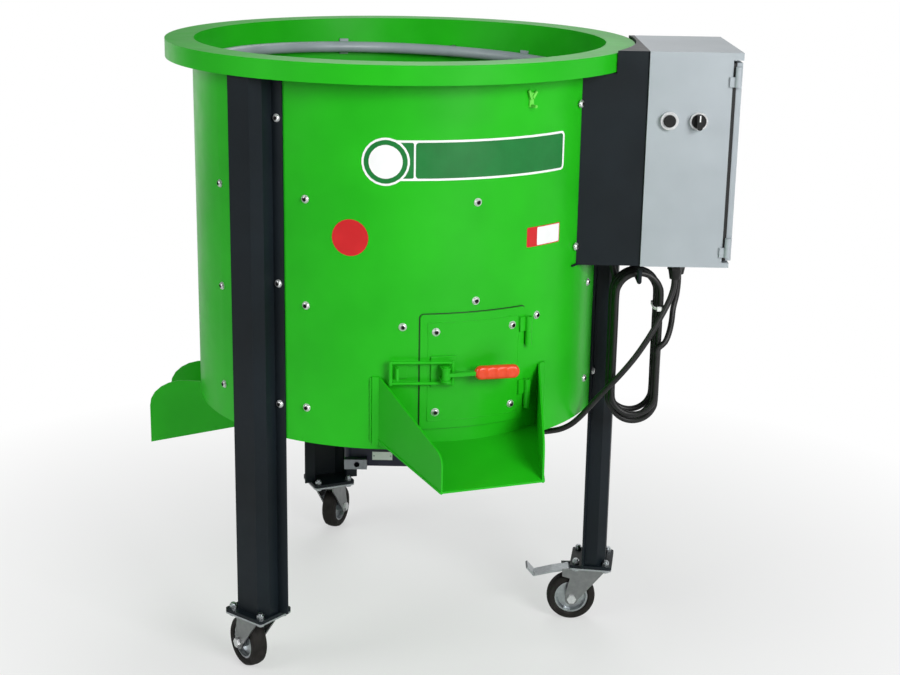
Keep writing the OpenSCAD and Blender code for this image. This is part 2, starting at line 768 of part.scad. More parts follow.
// Casters, each drawn with its swivel axis on Z and its wheel behind it along +X
module swivel_spot(a, turn) {
    in_frame() translate([base_r * sin(a), -base_r * cos(a), 0]) rotate([0, 0, turn]) children();
}
module cheek_outline(braked) {
    polygon([[-22, fork_top], [-22, fork_top - 9], [trail - boss_r + 2, wheel_r - 4],
        [trail + boss_r - 2, wheel_r - 4],
        [trail + boss_r, wheel_r + 6], [trail + 4, fork_top - 22],
            [trail + (braked ? 18 : 6), fork_top - 18],
        [trail + (braked ? 18 : 6), fork_top - fork_plate], [trail - 8, fork_top - fork_plate],
            [trail - 12, fork_top]]);
    translate([trail, wheel_r]) circle(boss_r);
}
module caster_fork(braked) {
    color(zinc) {
        difference() {
            union() {
                translate([0, 0, fork_top - fork_plate]) cylinder(r = 27, h = fork_plate);
                translate([0, -fork_in - fork_t, fork_top - fork_plate])
                    cube([trail - 10, 2 * (fork_in + fork_t), fork_plate]);
                for (s = [0, 1]) translate([0, s * (2 * fork_in + fork_t) - fork_in, 0])
                    rotate([90, 0, 0]) linear_extrude(fork_t) cheek_outline(braked);
                if (braked) along_y(pedal_x, -fork_in - fork_t, pedal_z)
                    cylinder(r = pedal_pin, h = 2 * (fork_in + fork_t));
            }
            translate([0, 0, fork_top - fork_plate - 1]) cylinder(r = king_r + run, h = fork_plate + 2);
            along_y(trail, -fork_in - fork_t - 1, wheel_r)
                cylinder(r = axle_r + gap, h = 2 * (fork_in + fork_t + 1));
        }
        along_y(trail, -fork_in - fork_t - axle_head - gap, wheel_r) {
            cylinder(r = axle_r * 1.7, h = axle_head, $fn = 6);
            cylinder(r = axle_r, h = 2 * (fork_in + fork_t + axle_head + gap));
            translate([0, 0, 2 * (fork_in + fork_t + gap) + axle_head])
                cylinder(r = axle_r * 1.7, h = axle_head, $fn = 6);
        }
    }
}
module wheel_spin() { translate([trail, 0, wheel_r]) rotate([90, 0, 0]) children(); }
module caster_hub() {
    half = tyre_w / 2;
    color(zinc) wheel_spin() rotate_extrude() polygon([[axle_r + run, -half - 1.5],
        [axle_r + 5, -half - 1.5],
        [axle_r + 5, -4], [hub_r - 5, -3], [hub_r - 3, -half + 3], [hub_r, -half + 3], [hub_r, half - 3],
        [hub_r - 3, half - 3], [hub_r - 5, 3], [axle_r + 5, 4], [axle_r + 5, half + 1.5],
            [axle_r + run, half + 1.5]]);
}
module caster_tyre() {
    half = tyre_w / 2;
    color(black) wheel_spin() rotate_extrude() polygon([[hub_r + gap, -half + 2], [hub_r + 3, -half],
        [wheel_r - 5, -half],
        [wheel_r - 2, -half + 2.5], [wheel_r - 0.5, -half + 7], [wheel_r, -half + 11], [wheel_r, half - 11],
        [wheel_r - 0.5, half - 7], [wheel_r - 2, half - 2.5], [wheel_r - 5, half], [hub_r + 3, half],
            [hub_r + gap, half - 2]]);
}
module caster_fork_left() { swivel_spot(leg_left_a, swivel_left) caster_fork(false); }
module caster_hub_left() { swivel_spot(leg_left_a, swivel_left) caster_hub(); }
module caster_tyre_left() { swivel_spot(leg_left_a, swivel_left) caster_tyre(); }
module caster_fork_right() { swivel_spot(leg_right_a, swivel_right) caster_fork(true); }
module caster_hub_right() { swivel_spot(leg_right_a, swivel_right) caster_hub(); }
module caster_tyre_right() { swivel_spot(leg_right_a, swivel_right) caster_tyre(); }
module caster_fork_rear() { swivel_spot(leg_rear_a, swivel_rear) caster_fork(false); }
module caster_hub_rear() { swivel_spot(leg_rear_a, swivel_rear) caster_hub(); }
module caster_tyre_rear() { swivel_spot(leg_rear_a, swivel_rear) caster_tyre(); }
module brake_pedal() {
    color(zinc) swivel_spot(leg_right_a, swivel_right) difference() {
        union() {
            along_y(pedal_x, -pedal_w / 2, pedal_z) cylinder(r = pedal_hub, h = pedal_w);
            translate([0, pedal_w / 2, 0]) rotate([90, 0, 0]) linear_extrude(pedal_w) polygon([
                [pedal_x, pedal_z + pedal_hub], [pedal_x + 28, pedal_z + 1],
                    [pedal_reach - 16, pedal_z - 7],
                [pedal_reach - 3, pedal_z + 8], [pedal_reach, pedal_z + 6],
                    [pedal_reach - 14, pedal_z - 10],
                [pedal_x + 28, pedal_z + 1 - pedal_t], [pedal_x, pedal_z + pedal_hub - pedal_t - 1]]);
        }
        along_y(pedal_x, -pedal_w / 2 - 1, pedal_z) cylinder(r = pedal_pin + run, h = pedal_w + 2);
    }
}

// Spray ring and water inlet
module spray_ring() {
    color(steel) in_frame() translate([0, 0, spray_z]) rotate([0, spray_tilt, 0]) {
        rotate_extrude($fn = 96) translate([spray_r, 0]) circle(pipe_r);
        for (a = [20, 80, 140, 200, 260, 320]) at(a) translate([-8, -drum_ri + 0.6, -14])
            cube([16, drum_ri - 0.6 - spray_r - pipe_r - 0.2, 28]);
    }
}
module water_inlet() {
    color(zinc) in_frame() radial(inlet_a, spray_r + pipe_r + 0.4, inlet_z) {
        wall_at = drum_r - spray_r - pipe_r - 0.4;
        difference() {
            union() {
                cylinder(r = pipe_r, h = wall_at + inlet_nut_t + inlet_l);
                translate([0, 0, wall_at + 0.5]) cylinder(r = inlet_nut, h = inlet_nut_t - 0.5, $fn = 6);
            }
            translate([0, 0, -1]) cylinder(r = pipe_r - 3, h = wall_at + inlet_nut_t + inlet_l + 2);
        }
    }
}

// Chutes
function corner(c, r, a0, a1, n) = [for (i = [0 : n]) c + r *
    [cos(a0 + (a1 - a0) * i / n), sin(a0 + (a1 - a0) * i / n)]];
module chute_floor(u0, z0, u1, half) {
    translate([0, -u0, z0]) rotate([chute_slope, 0, 0])
        translate([-half, -(u1 - u0) / cos(chute_slope) - 1, -chute_t])
            cube([2 * half, (u1 - u0) / cos(chute_slope) + 60, chute_t]);
}
module chute_plan(extra) {
    polygon([[-chute_half - extra, -wall_u0 + 40], [-chute_half - extra, -wall_u0],
        [-lip_half - extra, -lip_u],
        [lip_half + extra, -lip_u], [chute_half + extra, -wall_u0], [chute_half + extra, -wall_u0 + 40]]);
}
module chute_wall_outline() {
    run_out = wall_len - lip_corner;
    c = [run_out, wall_top_z - run_out * tan(wall_slope) - lip_corner / cos(wall_slope)];
    polygon(concat([[-40, wall_top_z], [0, wall_top_z]],
        corner(c, lip_corner, 90 - wall_slope, 0, 7),
        [[wall_len, lip_floor_z - chute_foot],
            [wall_len - (lip_u - drum_r) / cos(wall_turn), chute_floor_z - chute_foot],
         [-40, chute_floor_z - chute_foot]]));
}
module discharge_chute() {
    color(green) in_frame() at(chute_a) difference() {
        union() {
            intersection() {
                chute_floor(drum_r, chute_floor_z, lip_u, chute_half + 10);
                translate([0, 0, lip_floor_z - 60]) linear_extrude(160) chute_plan(chute_t / 2);
            }
            for (s = [0, 1]) mirror([s, 0, 0]) {
                translate([chute_half, -wall_u0, 0]) rotate([0, 0, -90 - wall_turn]) rotate([90, 0, 0])
                    linear_extrude(chute_t) chute_wall_outline();
                intersection() {
                    ring(skin_r + chute_t, skin_r - 2, chute_floor_z - chute_t, wall_top_z - 1);
                    translate([chute_half - 1, -drum_r - 10, 0]) cube([flange_w, 60, rim_z]);
                }
            }
        }
        drum_cut();
    }
}
module waste_wall_outline() {
    top = drum_z - gap;
    rise = top - waste_end_z;
    span = waste_u - waste_flat;
    polygon(concat([[waste_back, top], [waste_flat, top]],
        [for (a = [75 : -15 : 0]) [waste_flat + span * cos(a), waste_end_z + rise * sin(a)]],
        [[waste_u, waste_floor_z - chute_t],
         [waste_back, waste_floor_z - chute_t + (waste_u - waste_back) * tan(chute_slope)]]));
}
module waste_chute() {
    color(green) in_frame() at(waste_a) {
        back_z = waste_floor_z + (waste_u - waste_back) * tan(chute_slope);
        intersection() {
            chute_floor(waste_back, back_z, waste_u, waste_half + chute_t);
            translate([-waste_half - chute_t, -waste_u, 0])
                cube([2 * (waste_half + chute_t), waste_u - waste_back, drum_z]);
        }
        for (x = [-waste_half - chute_t, waste_half]) translate([x, 0, 0])
            rotate([90, 0, -90]) mirror([0, 0, 1])
            linear_extrude(chute_t) waste_wall_outline();
        translate([-waste_half - chute_t, -waste_back - chute_t, back_z - chute_t])
            cube([2 * (waste_half + chute_t), chute_t, drum_z - gap - back_z + chute_t]);
    }
}

// Gate
module hinge_spots() { for (d = hinge_offs) at(hinge_a) translate([0, -hinge_r, gate_z - d]) children(); }
module gate_hinge_fixed() {
    color(green) in_frame() {
        difference() {
            hinge_spots() {
                translate([0, 0, -hinge_h / 2]) cylinder(r = knuckle_r, h = hinge_h / 2 - hinge_gap / 2);
                translate([-1.5, 0, -hinge_h / 2]) cube([4.5, 12, hinge_h / 2 - hinge_gap / 2]);
                translate([0, 0, -hinge_h / 2 + 2]) cylinder(r = pin_r, h = hinge_h - 7);
            }
            drum_cut();
        }
    }
}
module gate_plate(ro, ri, half, up) {
    intersection() {
        ring(ro, ri, gate_z - up - 2, gate_z + up + 2);
        at(gate_a) translate([0, 0, gate_z]) rotate([90, 0, 0])
            linear_extrude(drum_r + 40) rounded(2 * half, 2 * up, gate_corner);
    }
}
module gate_door() {
    color(green) in_frame() {
        difference() {
            gate_plate(gate_ro, gate_ri, gate_half, gate_open_h / 2 + gate_lap);
            gate_screw_holes();
        }
        hinge_spots() difference() {
            union() {
                translate([0, 0, hinge_gap / 2]) cylinder(r = knuckle_r, h = hinge_h / 2 - hinge_gap / 2);
                translate([-16, knuckle_r - gate_t - 0.5, hinge_gap / 2])
                    cube([16, gate_t + 1, hinge_h / 2 - hinge_gap / 2]);
            }
            translate([0, 0, -1]) cylinder(r = pin_r + run, h = hinge_h / 2 + 2);
        }
    }
}
module gate_screw_spots() {
    for (sx = [-1, 1], sz =
        [-1, 1]) radial(gate_a + asin(sx * gate_screw_x / gate_ro), gate_ro, gate_z + sz * gate_screw_z)
            children();
}
module gate_screw_holes() { gate_screw_spots() translate([0, 0, -30]) cylinder(r = screw_hole_r, h = 50); }
module gate_liner() {
    color(green) in_frame() difference() {
        gate_plate(plug_ro, plug_ro - plug_t, gate_open_w / 2 - gate_clear, gate_open_h / 2 - gate_clear);
        gate_screw_holes();
    }
}
module gate_screws() { color(zinc) in_frame() gate_screw_spots() screw(gate_ro - plug_ro + plug_t); }

// Clamp on the gate, drawn facing the front and then turned to its place
module clamp_place() { in_frame() at(clamp_a) translate([0, 0, clamp_z]) children(); }
module clamp_base() {
    color(green) clamp_place() {
        box([-20, -clamp_seat - clamp_plate_t, -25], [20, -clamp_seat, 25]);
        for (s = [-1, 1]) translate([0, 0, s * (ear_in + ear_t / 2) - ear_t / 2]) linear_extrude(ear_t) {
            translate([0, -pivot_u]) circle(ear_r);
            translate([-7, -pivot_u]) square([14, pivot_u - clamp_seat - 1]);
        }
        translate([0, -pivot_u, -ear_out - 2]) cylinder(r = pivot_r, h = 2 * ear_out + 4);
        for (z = [-ear_out - 2, ear_out]) translate([0, -pivot_u, z]) cylinder(r = pivot_r + 2, h = 2);
    }
}
module clamp_handle() {
    color(green) clamp_place() difference() {
        union() {
            translate([0, -pivot_u, -ear_in + 0.3]) cylinder(r = 6.5, h = 2 * ear_in - 0.6);
            translate([0, 0, -lever_t / 2]) linear_extrude(lever_t) {
                translate([trunnion_v, -trunnion_u]) circle(7);
                polygon([[-4, -pivot_u - 6], [trunnion_v + 18, -trunnion_u - 11],
                    [grip_v + 10, -trunnion_u - 9], [grip_v + 30, -trunnion_u - 9],
                    [grip_v + 30, -trunnion_u - 2], [grip_v + 10, -trunnion_u - 2],
                        [trunnion_v + 18, -trunnion_u - 1],
                        [trunnion_v, -trunnion_u + 6], [-3, -pivot_u + 5]]);
            }
        }
        translate([0, -pivot_u, -20]) cylinder(r = pivot_r + run, h = 40);
        translate([trunnion_v, -trunnion_u, -20]) cylinder(r = trunnion_r + run, h = 40);
    }
}
module clamp_grip() {
    mid_u = trunnion_u + 5.5;
    color("#F0542A") clamp_place() difference() {
        translate([grip_v + grip_l / 2, -mid_u - grip_d / 2, 0]) rotate([-90, 0, 0])
            linear_extrude(grip_d) rounded(grip_l, grip_h, grip_h / 2 - 1);
        for (i = [0 : 3]) translate([grip_v + 13 + i * (grip_l - 26) / 3, -mid_u - grip_d / 2 - 13, -20])
            cylinder(r = 15, h = 40);
        box([grip_v - 1, -trunnion_u - 9 - gap, -lever_t / 2 - gap],
            [grip_v + 30 + gap, -trunnion_u - 2 + gap, lever_t / 2 + gap]);
        box([grip_v - 1, -trunnion_u - 12, -lever_t / 2 - gap],
            [grip_v + 12, -trunnion_u, lever_t / 2 + gap]);
    }
}
module clamp_hook() {
    bar = 2 * (hook_half + hook_r);
    color(green) clamp_place() {
        translate([trunnion_v, -trunnion_u, -bar / 2]) cylinder(r = trunnion_r, h = bar);
        translate([hook_end_v, -hook_end_u, -bar / 2]) cylinder(r = hook_r, h = bar);
        for (z = [-hook_half, hook_half]) translate([trunnion_v, -trunnion_u, z])
            rotate([0, 0, hook_lean]) rotate([0, -90, 0]) cylinder(r = hook_r - 0.3, h = hook_len);
    }
}
module clamp_catch() {
    color(green) in_frame() {
        intersection() {
            ring(skin_r + 3, skin_r, clamp_z - catch_w / 2 - 1, clamp_z + catch_w / 2 + 1);
            at(catch_a) box([-1, -drum_r - 20, 0], [24, -drum_r + 20, rim_z]);
        }
        difference() {
            at(catch_a) translate([0, -skin_r, clamp_z - catch_w / 2]) rotate([0, 0, catch_lean - catch_a])
                translate([0, -12 - catch_up, 0]) cube([catch_t, 12 + catch_up + 3, catch_w]);
            drum_cut();
        }
    }
}

// Control bracket and hooks
module control_bracket() {
    color(anthracite) in_frame() difference() {
        union() {
            box([bracket_x, bracket_y, box_z], [box_x, box_back_y, box_top]);
            for (y = [bracket_y, box_back_y - bracket_t]) box([drum_r / 2, y, box_z],
                [box_x, y + bracket_t, box_top]);
            box([drum_r / 2, bracket_y, box_top - bracket_t], [box_x, box_back_y, box_top]);
            intersection() {
                ring(bracket_ro, skin_r, box_z, rim_z - rim_skirt - rim_clear);
                rotate([0, 0, bracket_a]) translate([-bracket_lip, -far, 0])
                    cube([bracket_lip + 1, far, far]);
            }
        }
        drum_cut();
        translate([0, 0, rim_z - rim_skirt - rim_clear]) cylinder(r = rim_r + rim_clear, h = far);
        screw_holes(bracket_screws);
        for (y = box_bolt_y, z = box_bolt_z) along_x(bracket_x - 1, y, z)
            cylinder(r = bolt_r + 0.3, h = bracket_t + 2);
    }
}
module hooks() {
    tab_y = coil_y + loop_pitch * (loops + 1) + cord_d + 4;
    color(anthracite) in_frame() {
        box([bracket_x - 3 - gap, tab_y, hook_rod_z - 8], [bracket_x - gap, tab_y + 16, box_z + 34]);
        box([bracket_x - 3 - gap, tab_y, hook_rod_z - 8], [coil_x + hook_rod, tab_y + 4, hook_rod_z + 8]);
        along_y(coil_x, coil_y - 12, hook_rod_z) cylinder(r = hook_rod, h = tab_y - coil_y + 13);
        translate([coil_x, coil_y - 12, hook_rod_z]) cylinder(r = hook_rod, h = 20);
        translate([coil_x, coil_y - 12, hook_rod_z]) sphere(hook_rod);
        difference() {
            box([plug_spot[0] + 8, plug_spot[1] - 14, plug_spot[2] + 46],
                [bracket_x - gap, plug_spot[1] + 14, plug_spot[2] + 56]);
            translate([plug_spot[0], plug_spot[1], plug_spot[2]]) cylinder(r = plug_r + 0.3, h = 90);
        }
    }
    color(green) in_frame() radial(36.9, drum_r + 0.2, below(62)) {
        box([-4, -12, 0], [4, 10, 2.5]);
        translate([-1.5, 0, 2]) rotate([0, 0, 20]) box([-2, 0, 0], [2, 15, 3]);
        translate([1.5, 2, 2]) rotate([0, 0, -35]) box([-2, 0, 0], [2, 12, 3]);
        translate([0, -10, 2]) cylinder(r = 2.5, h = 12);
    }
}

// Switch box
module switch_spots() { for (x = [button_x, selector_x]) translate([x, box_y, switch_z])
    rotate([90, 0, 0]) children(); }
module enclosure_body() {
    color(box_grey) in_frame() {
        difference() {
            box([box_x, box_y, box_z], [box_end, box_back_y, box_top]);
            box([box_x + box_t, box_y + box_t, box_z + box_t],
                [box_end - box_t, box_back_y - box_t, box_top - box_t]);
            box([box_end - box_t - 1, box_y + flange_in, box_z + flange_in],
                [box_end + 1, box_back_y - flange_in, box_top - flange_in]);
            switch_spots() translate([0, 0, -box_t - 1]) cylinder(r = switch_hole, h = box_t + 2);
            for (g = gland_spots) translate([g[0], g[1], box_z - 1])
                cylinder(r = gland_r + 0.2, h = box_t + 2);
            for (y = box_bolt_y, z = box_bolt_z) along_x(box_x - 1, y, z)
                cylinder(r = bolt_r + 0.3, h = box_t + 2);
        }
        box([box_end - 1, box_y, box_top - canopy_z], [door_out + 1, box_back_y, box_top]);
        box([box_end - 1, box_y, box_z], [door_out - 3, box_back_y, box_z + sill_z]);
        for (z = door_hinges) difference() {
            union() {
                translate([door_pin_x, door_pin_y, z]) cylinder(r = door_knuckle, h = door_hinge_h);
                box([box_end - 5, box_y - 4, z], [door_pin_x, box_y + 0.5, z + door_hinge_h]);
                translate([door_pin_x, door_pin_y, z]) cylinder(r = pin_r, h = 2 * door_hinge_h - 3);
            }
            box([box_end, box_y - 0.5, z - 1], [door_out, box_y + 20, z + door_hinge_h + 1]);
        }
    }
}
module door_frame(x0, x1, inset, wide) {
    difference() {
        box([x0, box_y + inset, door_z0 + inset], [x1, box_back_y - inset, door_z1 - inset]);
        box([x0 - 1, box_y + inset + wide, door_z0 + inset + wide],
            [x1 + 1, box_back_y - inset - wide, door_z1 - inset - wide]);
    }
}
module door_gasket() { color(black) in_frame() door_frame(box_end + gap, box_end + gasket_t, 0.5, 9); }
module enclosure_door() {
    color(box_grey) in_frame() difference() {
        union() {
            difference() {
                box([door_x, box_y + door_gap_y, door_z0], [door_out, box_back_y, door_z1]);
                box([door_x - 1, box_y + door_gap_y + 2, door_z0 + 2],
                    [door_out - 2, box_back_y - 2, door_z1 - 2]);
            }
            for (z = door_hinges) translate([0, 0, z + door_hinge_h + 0.3]) {
                translate([door_pin_x, door_pin_y, 0]) cylinder(r = door_knuckle, h = door_hinge_h);
                box([door_pin_x - 1, door_pin_y, 0], [door_out - 1, box_y + door_gap_y + 1, door_hinge_h]);
            }
        }
        for (z = door_hinges) translate([door_pin_x, door_pin_y, z])
            cylinder(r = pin_r + run, h = 2 * door_hinge_h - 2);
        along_x(door_out - 4, lock_y, lock_z) cylinder(r = lock_r + run, h = 10);
    }
}
module door_lock() {
    color(zinc) in_frame() along_x(door_out - 8, lock_y, lock_z) difference() {
        union() {
            cylinder(r = lock_r, h = 9);
            translate([0, 0, 8.3]) cylinder(r = lock_r + 2.5, h = 3.7);
            translate([-4, -4, -6]) cube([8, 16, 6.5]);
        }
        translate([-1.5, -7, 10.5]) cube([3, 14, 4]);
    }
}
module gland(wall = box_t) {
    translate([0, 0, -9]) cylinder(r = gland_hex, h = 8.9, $fn = 6);
    translate([0, 0, -gland_l]) cylinder(r1 = gland_hex - 4.5, r2 = gland_hex - 1.5, h = gland_l - 8.9);
    translate([0, 0, -1]) cylinder(r = gland_r, h = wall + 7);
    translate([0, 0, wall + 0.1]) cylinder(r = gland_hex, h = 5, $fn = 6);
}
module cable_glands() {
    color(black) in_frame() {
        for (g = gland_spots) translate([g[0], g[1], box_z]) gland();
        translate([term_gland_x, term_y, term_gland_z]) rotate([90, 0, 0]) mirror([0, 0, 1]) gland(term_t);
    }
}
module starter_gear() {
    plate_x = box_x + box_t + 8;
    mid_y = (box_y + box_back_y) / 2;
    color(steel) in_frame() {
        difference() {
            box([plate_x, box_y + 22, box_z + 26], [plate_x + 2, box_back_y - 22, box_top - 26]);
            for (y = box_bolt_y, z = box_bolt_z) along_x(plate_x - 1, y, z)
                cylinder(r = bolt_head_r + 1, h = 4);
        }
        for (sy = [-1, 1], z =
            [box_z + 40, box_top - 40]) along_x(box_x + box_t + gap, mid_y + sy * 20, z)
                cylinder(r = 5, h = 8 - 2 * gap);
        box([plate_x + 2 + gap, mid_y - 30, box_z + 190], [plate_x + 62, mid_y + 15, box_z + 270]);
        box([plate_x + 2 + gap, mid_y - 30, box_z + 120], [plate_x + 55, mid_y + 15, box_z + 189]);
        box([plate_x + 2 + gap, mid_y - 70, box_z + 50], [plate_x + 38, mid_y + 60, box_z + 90]);
        box([plate_x + 2 + gap, mid_y + 40, box_z + 190], [plate_x + 60, mid_y + 76, box_z + 270]);
    }
}
module switch_bezels() {
    color(zinc) in_frame() for (i = [0, 1]) translate([[button_x, selector_x][i], box_y, switch_z])
        rotate([90, 0, 0]) difference() {
        union() {
            translate([0, 0, gap]) cylinder(r = bezel_r, h = bezel_h);
            translate([0, 0, -box_t - 6]) cylinder(r = switch_hole - 0.2, h = box_t + 7);
            translate([0, 0, -box_t - gap - 5]) cylinder(r = bezel_r, h = 5);
            translate([-14, -14, -box_t - 46]) cube([28, 28, 41]);
        }
        translate([0, 0, i == 0 ? -box_t - 10 : bezel_h - 4])
            cylinder(r = (i == 0 ? button_r : knob_r) + (i == 0 ? run : 0.3), h = 60);
        if (i == 1) translate([0, 0, -10]) cylinder(r = spindle_r + run, h = 30);
    }
}
module push_button() {
    color(black) in_frame() translate([button_x, box_y, switch_z]) rotate([90, 0, 0])
        translate([0, 0, -5]) cylinder(r = button_r, h = bezel_h + button_out + 3);
}
module selector_knob() {
    color(black) in_frame() translate([selector_x, box_y, switch_z]) rotate([90, 0, 0]) {
        translate([0, 0, -8]) cylinder(r = spindle_r, h = 12);
        translate([0, 0, bezel_h - 3.5]) cylinder(r = knob_r, h = 6);
        translate([0, 0, bezel_h + 2]) linear_extrude(11) rounded(9, 2 * knob_r + 2, 4);
    }
}

// Worm drive
module gearbox_housing() {
    color(navy) in_frame() difference() {
        union() {
            translate([0, 0, housing_z]) linear_extrude(gear_h)
                rounded(2 * housing_half, 2 * housing_y, 14);
            along_y(gear_c, -housing_y - 8, gear_z) cylinder(r = worm_tube, h = 2 * housing_y + 16);
        }
        translate([0, 0, gear_z - cavity_h / 2]) cylinder(r = cavity_r, h = cavity_h);
        translate([0, 0, housing_z - 1]) cylinder(r = sleeve_r + run, h = gear_h + 2);
        along_y(gear_c, -worm_half - 6, gear_z) cylinder(r = worm_r + 3, h = 2 * worm_half + 12);
        along_y(gear_c, -housing_y - 1, gear_z) cylinder(r = journal_r + run, h = 2 * housing_y + 20);
        flange_bolt_spots() translate([0, 0, housing_top - bolt_head_h - 2])
            cylinder(r = bolt_head_r + 1.5, h = 20);
    }
}
module gearbox_flange() {
    color(steel) in_frame() {
        difference() {
            union() {
                translate([0, 0, housing_top]) cylinder(r = flange_r, h = flange_t - gap);
                translate([0, 0, drum_z - 1]) cylinder(r = spigot_r, h = floor_t + 1);
                translate([0, 0, floor_top - 1]) cylinder(r = 2 * shaft_r, h = boss_h + 1);
            }
            translate([0, 0, housing_top - 1]) cylinder(r = shaft_r + run, h = 100);
            box([-flange_r, motor_y - 0.6, housing_top - 1], [flange_r, flange_r + 1, drum_z]);
            flange_bolt_spots() translate([0, 0, housing_top - 1])
                cylinder(r = bolt_r + 0.3, h = flange_t + 2);
        }
        difference() {
            box([-housing_half + 1, -housing_y - 14, housing_z - 2],
                [-housing_half + 41, -housing_y - gap, housing_z + 16]);
            along_y(-housing_half + 23, -housing_y - 20, housing_z + 7) cylinder(r = 5, h = 30);
        }
    }
}
module worm_wheel() {
    color("#B08D57") in_frame() difference() {
        union() {
            translate([0, 0, gear_z - wheel_t / 2]) linear_extrude(wheel_t) {
                circle(wheel_tip - 6);
                for (i = [0 : wheel_teeth - 1]) rotate(i * 360 / wheel_teeth)
                    polygon([[wheel_tip - 8, -3.4], [wheel_tip, -1.6], [wheel_tip, 1.6],
                        [wheel_tip - 8, 3.4]]);
            }
            translate([0, 0, housing_z + 4]) cylinder(r = sleeve_r, h = gear_h - 8);
        }
        translate([0, 0, housing_z]) cylinder(r = shaft_r + 0.02, h = gear_h);
    }
}
module worm_shaft() {
    color(steel) in_frame() along_y(gear_c, -housing_y, gear_z) {
        y1 = motor_y1 + 14 + housing_y;
        y2 = motor_y2 - 14 + housing_y;
        rotate_extrude() polygon(concat([[0, 0], [journal_r, 0], [journal_r, housing_y - worm_half - 4]],
            [for (i = [0 : 8], q = [[worm_r - 4, 0], [worm_r, 1.5], [worm_r, 4.5], [worm_r - 4, 6]])
                [q[0], housing_y - worm_half + i * 8 + q[1]]],
            [[journal_r, housing_y + worm_half + 4], [journal_r, motor_y + housing_y],
                [motor_shaft_r, motor_y + housing_y],
             [motor_shaft_r, y1], [core_r, y1], [core_r, y2], [motor_shaft_r, y2],
             [motor_shaft_r, fan_y + fan_l + housing_y], [0, fan_y + fan_l + housing_y]]));
    }
    motor_fan();
}
module motor_fan() {
    color(black) in_frame() along_y(gear_c, fan_y, gear_z) difference() {
        union() {
            cylinder(r = 20, h = fan_l);
            cylinder(r = motor_r - 12, h = 3);
            for (i = [0 : 6]) rotate([0, 0, i * 360 / 7]) translate([16, -1.5, 1])
                cube([motor_r - 29, 3, fan_l - 3]);
        }
        translate([0, 0, -1]) cylinder(r = motor_shaft_r + 0.02, h = fan_l + 2);
    }
}
module motor_body() {
    color(navy) in_frame() difference() {
        union() {
            along_y(gear_c, motor_y, gear_z) cylinder(r = motor_r, h = motor_flange_t);
            along_y(gear_c, motor_y1 - 1, gear_z) cylinder(r = motor_r - fin_in, h = motor_l + 1);
            for (i = [0 : fins - 1]) along_y(gear_c, motor_y1 - 1, gear_z) rotate([0, 0, i * 360 / fins])
                translate([motor_r - fin_in - 2, -1.4, 0]) cube([fin_in + 1, 2.8, motor_l - 12]);
            box([gear_c + motor_r - 20, term_y + 6, term_z - 24],
                [pad_x, term_y + term_w - 6, term_z + 24]);
        }
        along_y(gear_c, motor_y1 + 8, gear_z) cylinder(r = stator_r, h = motor_l - 16);
        along_y(gear_c, motor_y - 1, gear_z) cylinder(r = motor_shaft_r + run, h = motor_l + 40);
        along_y(gear_c, motor_y - 1, gear_z) cylinder(r = journal_r + 0.5, h = 3);
    }
}
module fan_cowl() {
    color(navy) in_frame() along_y(gear_c, motor_y2 - 12 + gap, gear_z) difference() {
        cylinder(r = motor_r, h = cowl_l + 12);
        translate([0, 0, -1]) cylinder(r = motor_r - fin_in + gap, h = 20);
        translate([0, 0, 10]) cylinder(r = motor_r - cowl_t, h = cowl_l + 2 - cowl_t);
        for (i = [0 : 11]) rotate([0, 0, 30 * i]) translate([18, -4, cowl_l]) cube([motor_r - 30, 8, 20]);
    }
}
module terminal_box() {
    color(navy) in_frame() difference() {
        box([pad_x + gap, term_y, term_z - term_h / 2],
            [pad_x + term_l, term_y + term_w, term_z + term_h / 2]);
        box([pad_x + term_t, term_y + term_t, term_z - term_h / 2 + term_t],
            [pad_x + term_l - term_t, term_y + term_w - term_t, term_z + term_h / 2 - term_t]);
        along_y(term_gland_x, term_y - 1, term_gland_z) cylinder(r = gland_r + 0.2, h = 5);
    }
}

// Rotor
module rotor_disc() {
    color(steel) in_frame() difference() {
        translate([0, 0, rotor_z]) cylinder(r = rotor_r, h = rotor_t);
        translate([0, 0, rotor_z - 1]) cylinder(r = shaft_r + gap, h = rotor_t + 2);
    }
}
module rotor_bars() {
    color(steel) in_frame() {
        for (i = [0 : bars - 1]) rotate([0, 0, i * 360 / bars])
            translate([bar_in, -bar_w / 2, rotor_top + gap])
            cube([bar_out - bar_in, bar_w, bar_h]);
        for (i = [0 : sweepers - 1]) rotate([0, 0, 30 + i * 360 / sweepers])
            translate([sweep_in, -sweep_t / 2, floor_top + sweep_gap])
                cube([sweep_out - sweep_in, sweep_t, rotor_z - gap - floor_top - sweep_gap]);
    }
}
module rotor_shaft() {
    color(steel) in_frame() {
        translate([0, 0, housing_z + 2]) cylinder(r = shaft_r, h = rotor_top + cap_h + 8 - housing_z - 2);
        translate([0, 0, rotor_z - hub_flange_t - gap]) cylinder(r = hub_flange_r, h = hub_flange_t);
        translate([0, 0, rotor_top + gap]) cylinder(r = cap_r, h = cap_h);
        translate([0, 0, rotor_top + cap_h]) cylinder(r = shaft_r * 1.6, h = 6, $fn = 6);
    }
}

